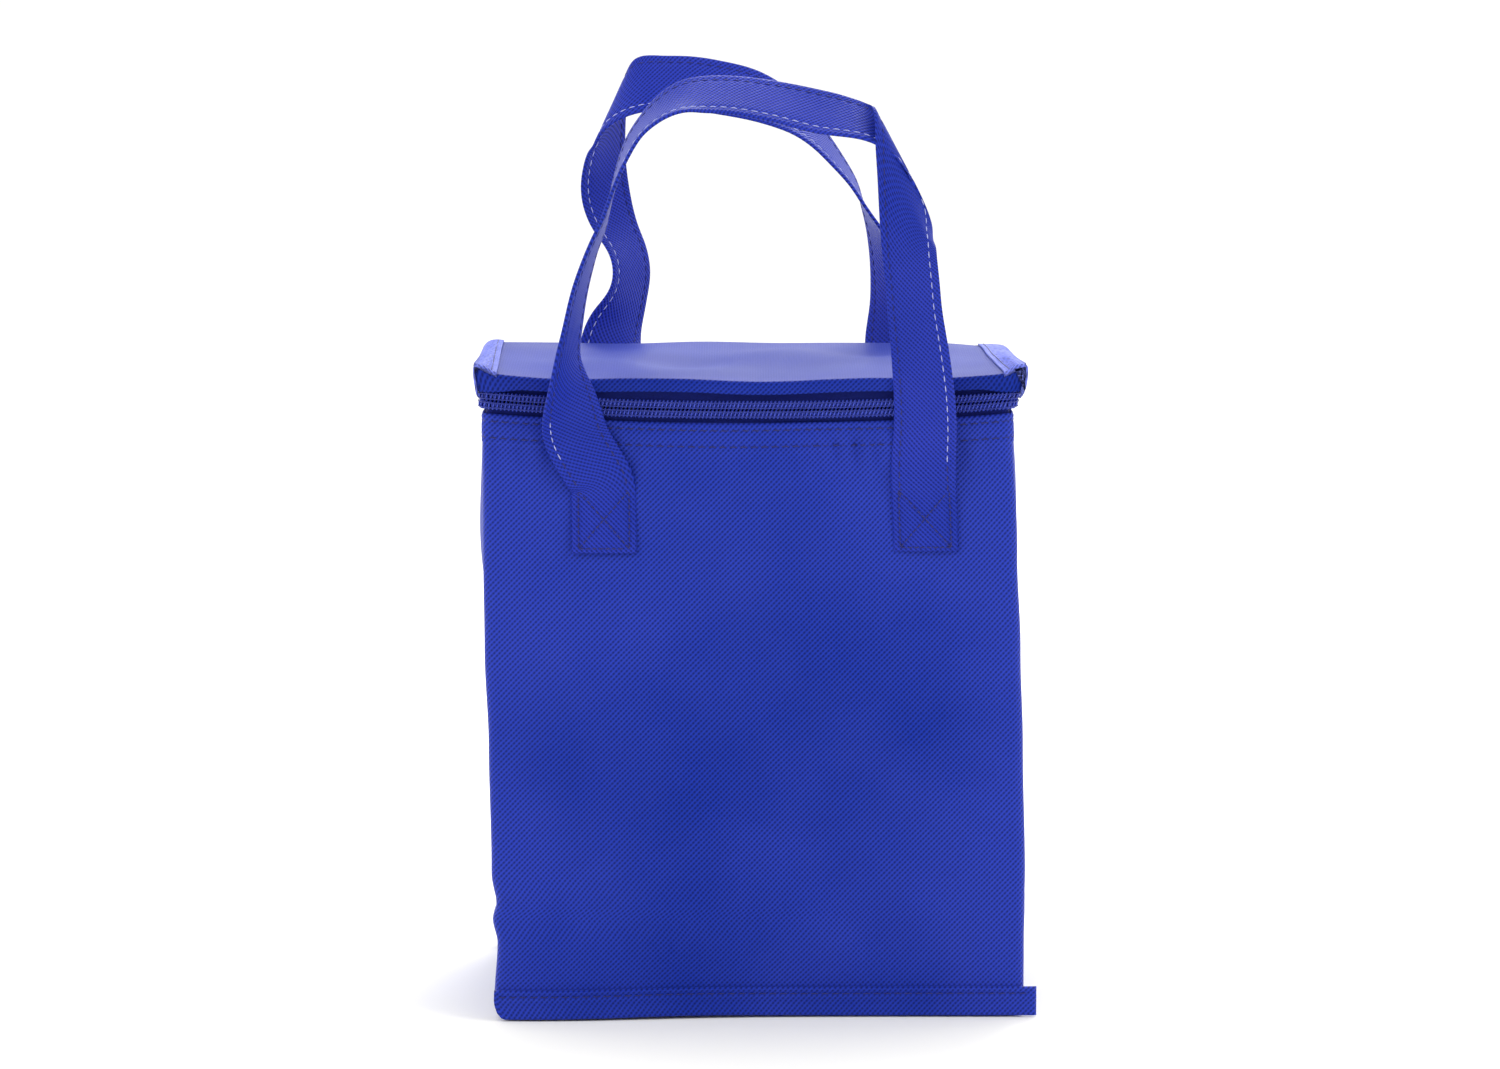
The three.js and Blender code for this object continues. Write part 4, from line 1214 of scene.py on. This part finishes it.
def through(stations, step):
    """Even points on the smooth curve through the stations: between two of them, a cubic whose
    slope at each is the chord from the station before to the one after, then a running mean. The
    seventh value of a station, 0 where it is left out, says how slanted the fold is there."""
    stations = np.array([(*station, 0)[:7] for station in stations], float)
    knots = lengths(stations[:, :3])
    slope = np.gradient(stations, knots, axis=0)
    fine = np.arange(0, knots[-1], 0.4)
    i = np.clip(np.searchsorted(knots, fine, "right") - 1, 0, len(knots) - 2)
    h = (knots[i + 1] - knots[i])[:, None]
    t = (fine[:, None] - knots[i][:, None]) / h
    curve = (
        (2 * t**3 - 3 * t**2 + 1) * stations[i] + (t**3 - 2 * t**2 + t) * h * slope[i]
        + (3 * t**2 - 2 * t**3) * stations[i + 1] + (t**3 - t**2) * h * slope[i + 1]
    )
    run = lengths(curve[:, :3])
    where = np.linspace(0, run[-1], int(run[-1] / step))
    even = np.stack([np.interp(where, run, curve[:, k]) for k in range(curve.shape[1])], -1)
    for columns, reach in ((slice(0, 3), 2), (slice(3, None), 5)):
        spread = np.pad(even[:, columns], ((reach, reach), (0, 0)), mode="edge")
        count = 2 * reach + 1
        even[:, columns] = sum(spread[k:k + len(even)] for k in range(count)) / count
    return even


def handle(word, stations, side):
    """One handle with its sewn ends and its two rows of edge stitches, seen on both faces. The
    ends follow the slouch of the wall, which fades out above them."""
    first, last = stations[0], stations[-1]
    foot = np.arange(PATCH_FOOT, PATCH_TOP - 1, 2.5)
    left = [(first[0], side * PATCH_FACE, z, -1, 0, 0) for z in foot]
    right = [(last[0], side * PATCH_FACE, z, 1, 0, 0) for z in foot[::-1]]
    track = through(left + list(stations) + right, STRAP_STEP)
    path, slant, skew = track[:, :3], track[:, 3:6], track[:, 6:]
    along = unit(np.gradient(path, axis=0))
    square = unit(slant - (slant * along).sum(1, keepdims=True) * along)
    across = (1 - skew) * square + skew * slant
    lift = unit(np.cross(along, across))
    hold = (1 - ramp(path[:, 2], PATCH_TOP - 4, PATCH_TOP + 26))[:, None]
    path = path + hold * (slouch(path) - path)
    run = lengths(path)
    strap = strip(
        "handle_" + word, path, across, lift, STRAP_WIDTH, STRAP_THICK, strap_material, run,
        STRAP_ROW,
    )
    patch = "strap_end_" + word
    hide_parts(word + "_strap", patch + "_left", patch + "_right")
    pieces = [strap]
    rows = {"dark": [], "pale": []}
    for edge in (-1, 1):
        for face in (-1, 1):
            row = path + edge * STRAP_ROW * across + face * (STRAP_THICK / 2 * 0.72) * lift
            row = sewn_row(row, face * lift, STRAP_PITCH, STRAP_STITCH, skip=3.0)
            # By the patches and up the front handle's left side the pale edge's stitches are drawn
            # in the dark thread: painted shade, where the pale thread looks dark.
            at_x, at_z = row[0][:, 0], row[0][:, 2]
            pale_in_shade = at_z < 225
            if side < 0:
                pale_in_shade = pale_in_shade | ((at_x < -52) & (at_z > 240))
            pale = (edge > 0) & ~pale_in_shade
            rows["pale"].append([part[pale] for part in row])
            rows["dark"].append([part[~pale & (at_z > PATCH_TOP - 1)] for part in row])
    for shade, thread in (("dark", dark_thread), ("pale", light_thread)):
        name = "handle_" + word + "_thread_" + shade
        pieces.append(stitches(name, *joined(rows[shade]), thread, STRAP_THREAD))
    for piece in pieces:
        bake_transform(piece)


handle("front", FRONT_STATIONS, -1)
handle("back", BACK_STATIONS, 1)

# The patches: at each of the four ends a square of stitches with a cross inside it goes right
# through the strip, the wall and the lining, and takes the whole pull of the handle.
BOX_INSET, BOX_POINTS = 2.8, 30

for word, side, centres in (
    ("front", -1, (FRONT_STATIONS[0][0], FRONT_STATIONS[-1][0])),
    ("back", 1, (BACK_STATIONS[0][0], BACK_STATIONS[-1][0])),
):
    for place, centre in zip(("left", "right"), centres):
        half = STRAP_WIDTH / 2 - BOX_INSET
        low, high = PATCH_FOOT + BOX_INSET, PATCH_TOP - 1.2
        corners = {
            "a": (centre - half, low), "b": (centre + half, low),
            "c": (centre + half, high), "d": (centre - half, high),
        }
        rows = []
        for first, last in ("ab", "bc", "cd", "da", "ac", "bd"):
            ends = np.array([corners[first], corners[last]])
            t = np.linspace(0, 1, BOX_POINTS)[:, None]
            flat = ends[0] + (ends[1] - ends[0]) * t
            row = np.zeros((BOX_POINTS, 3))
            row[:] = centre, side * PATCH_FACE, 0.0
            row[:, 2] = flat[:, 1]
            row = slouch(row)
            row[:, 0] += flat[:, 0] - centre
            row[:, 1] += side * 0.8
            out = np.tile([0, side, 0.0], (BOX_POINTS, 1))
            rows.append(sewn_row(row, out, pitch=2.6, length=2.0, skip=0.2))
        box = stitches(
            "box_stitches_" + word + "_" + place, *joined(rows), dark_thread, STRAP_THREAD
        )
        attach(box, "shell")
        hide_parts("box_stitch_" + word + "_" + place)

low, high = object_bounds()
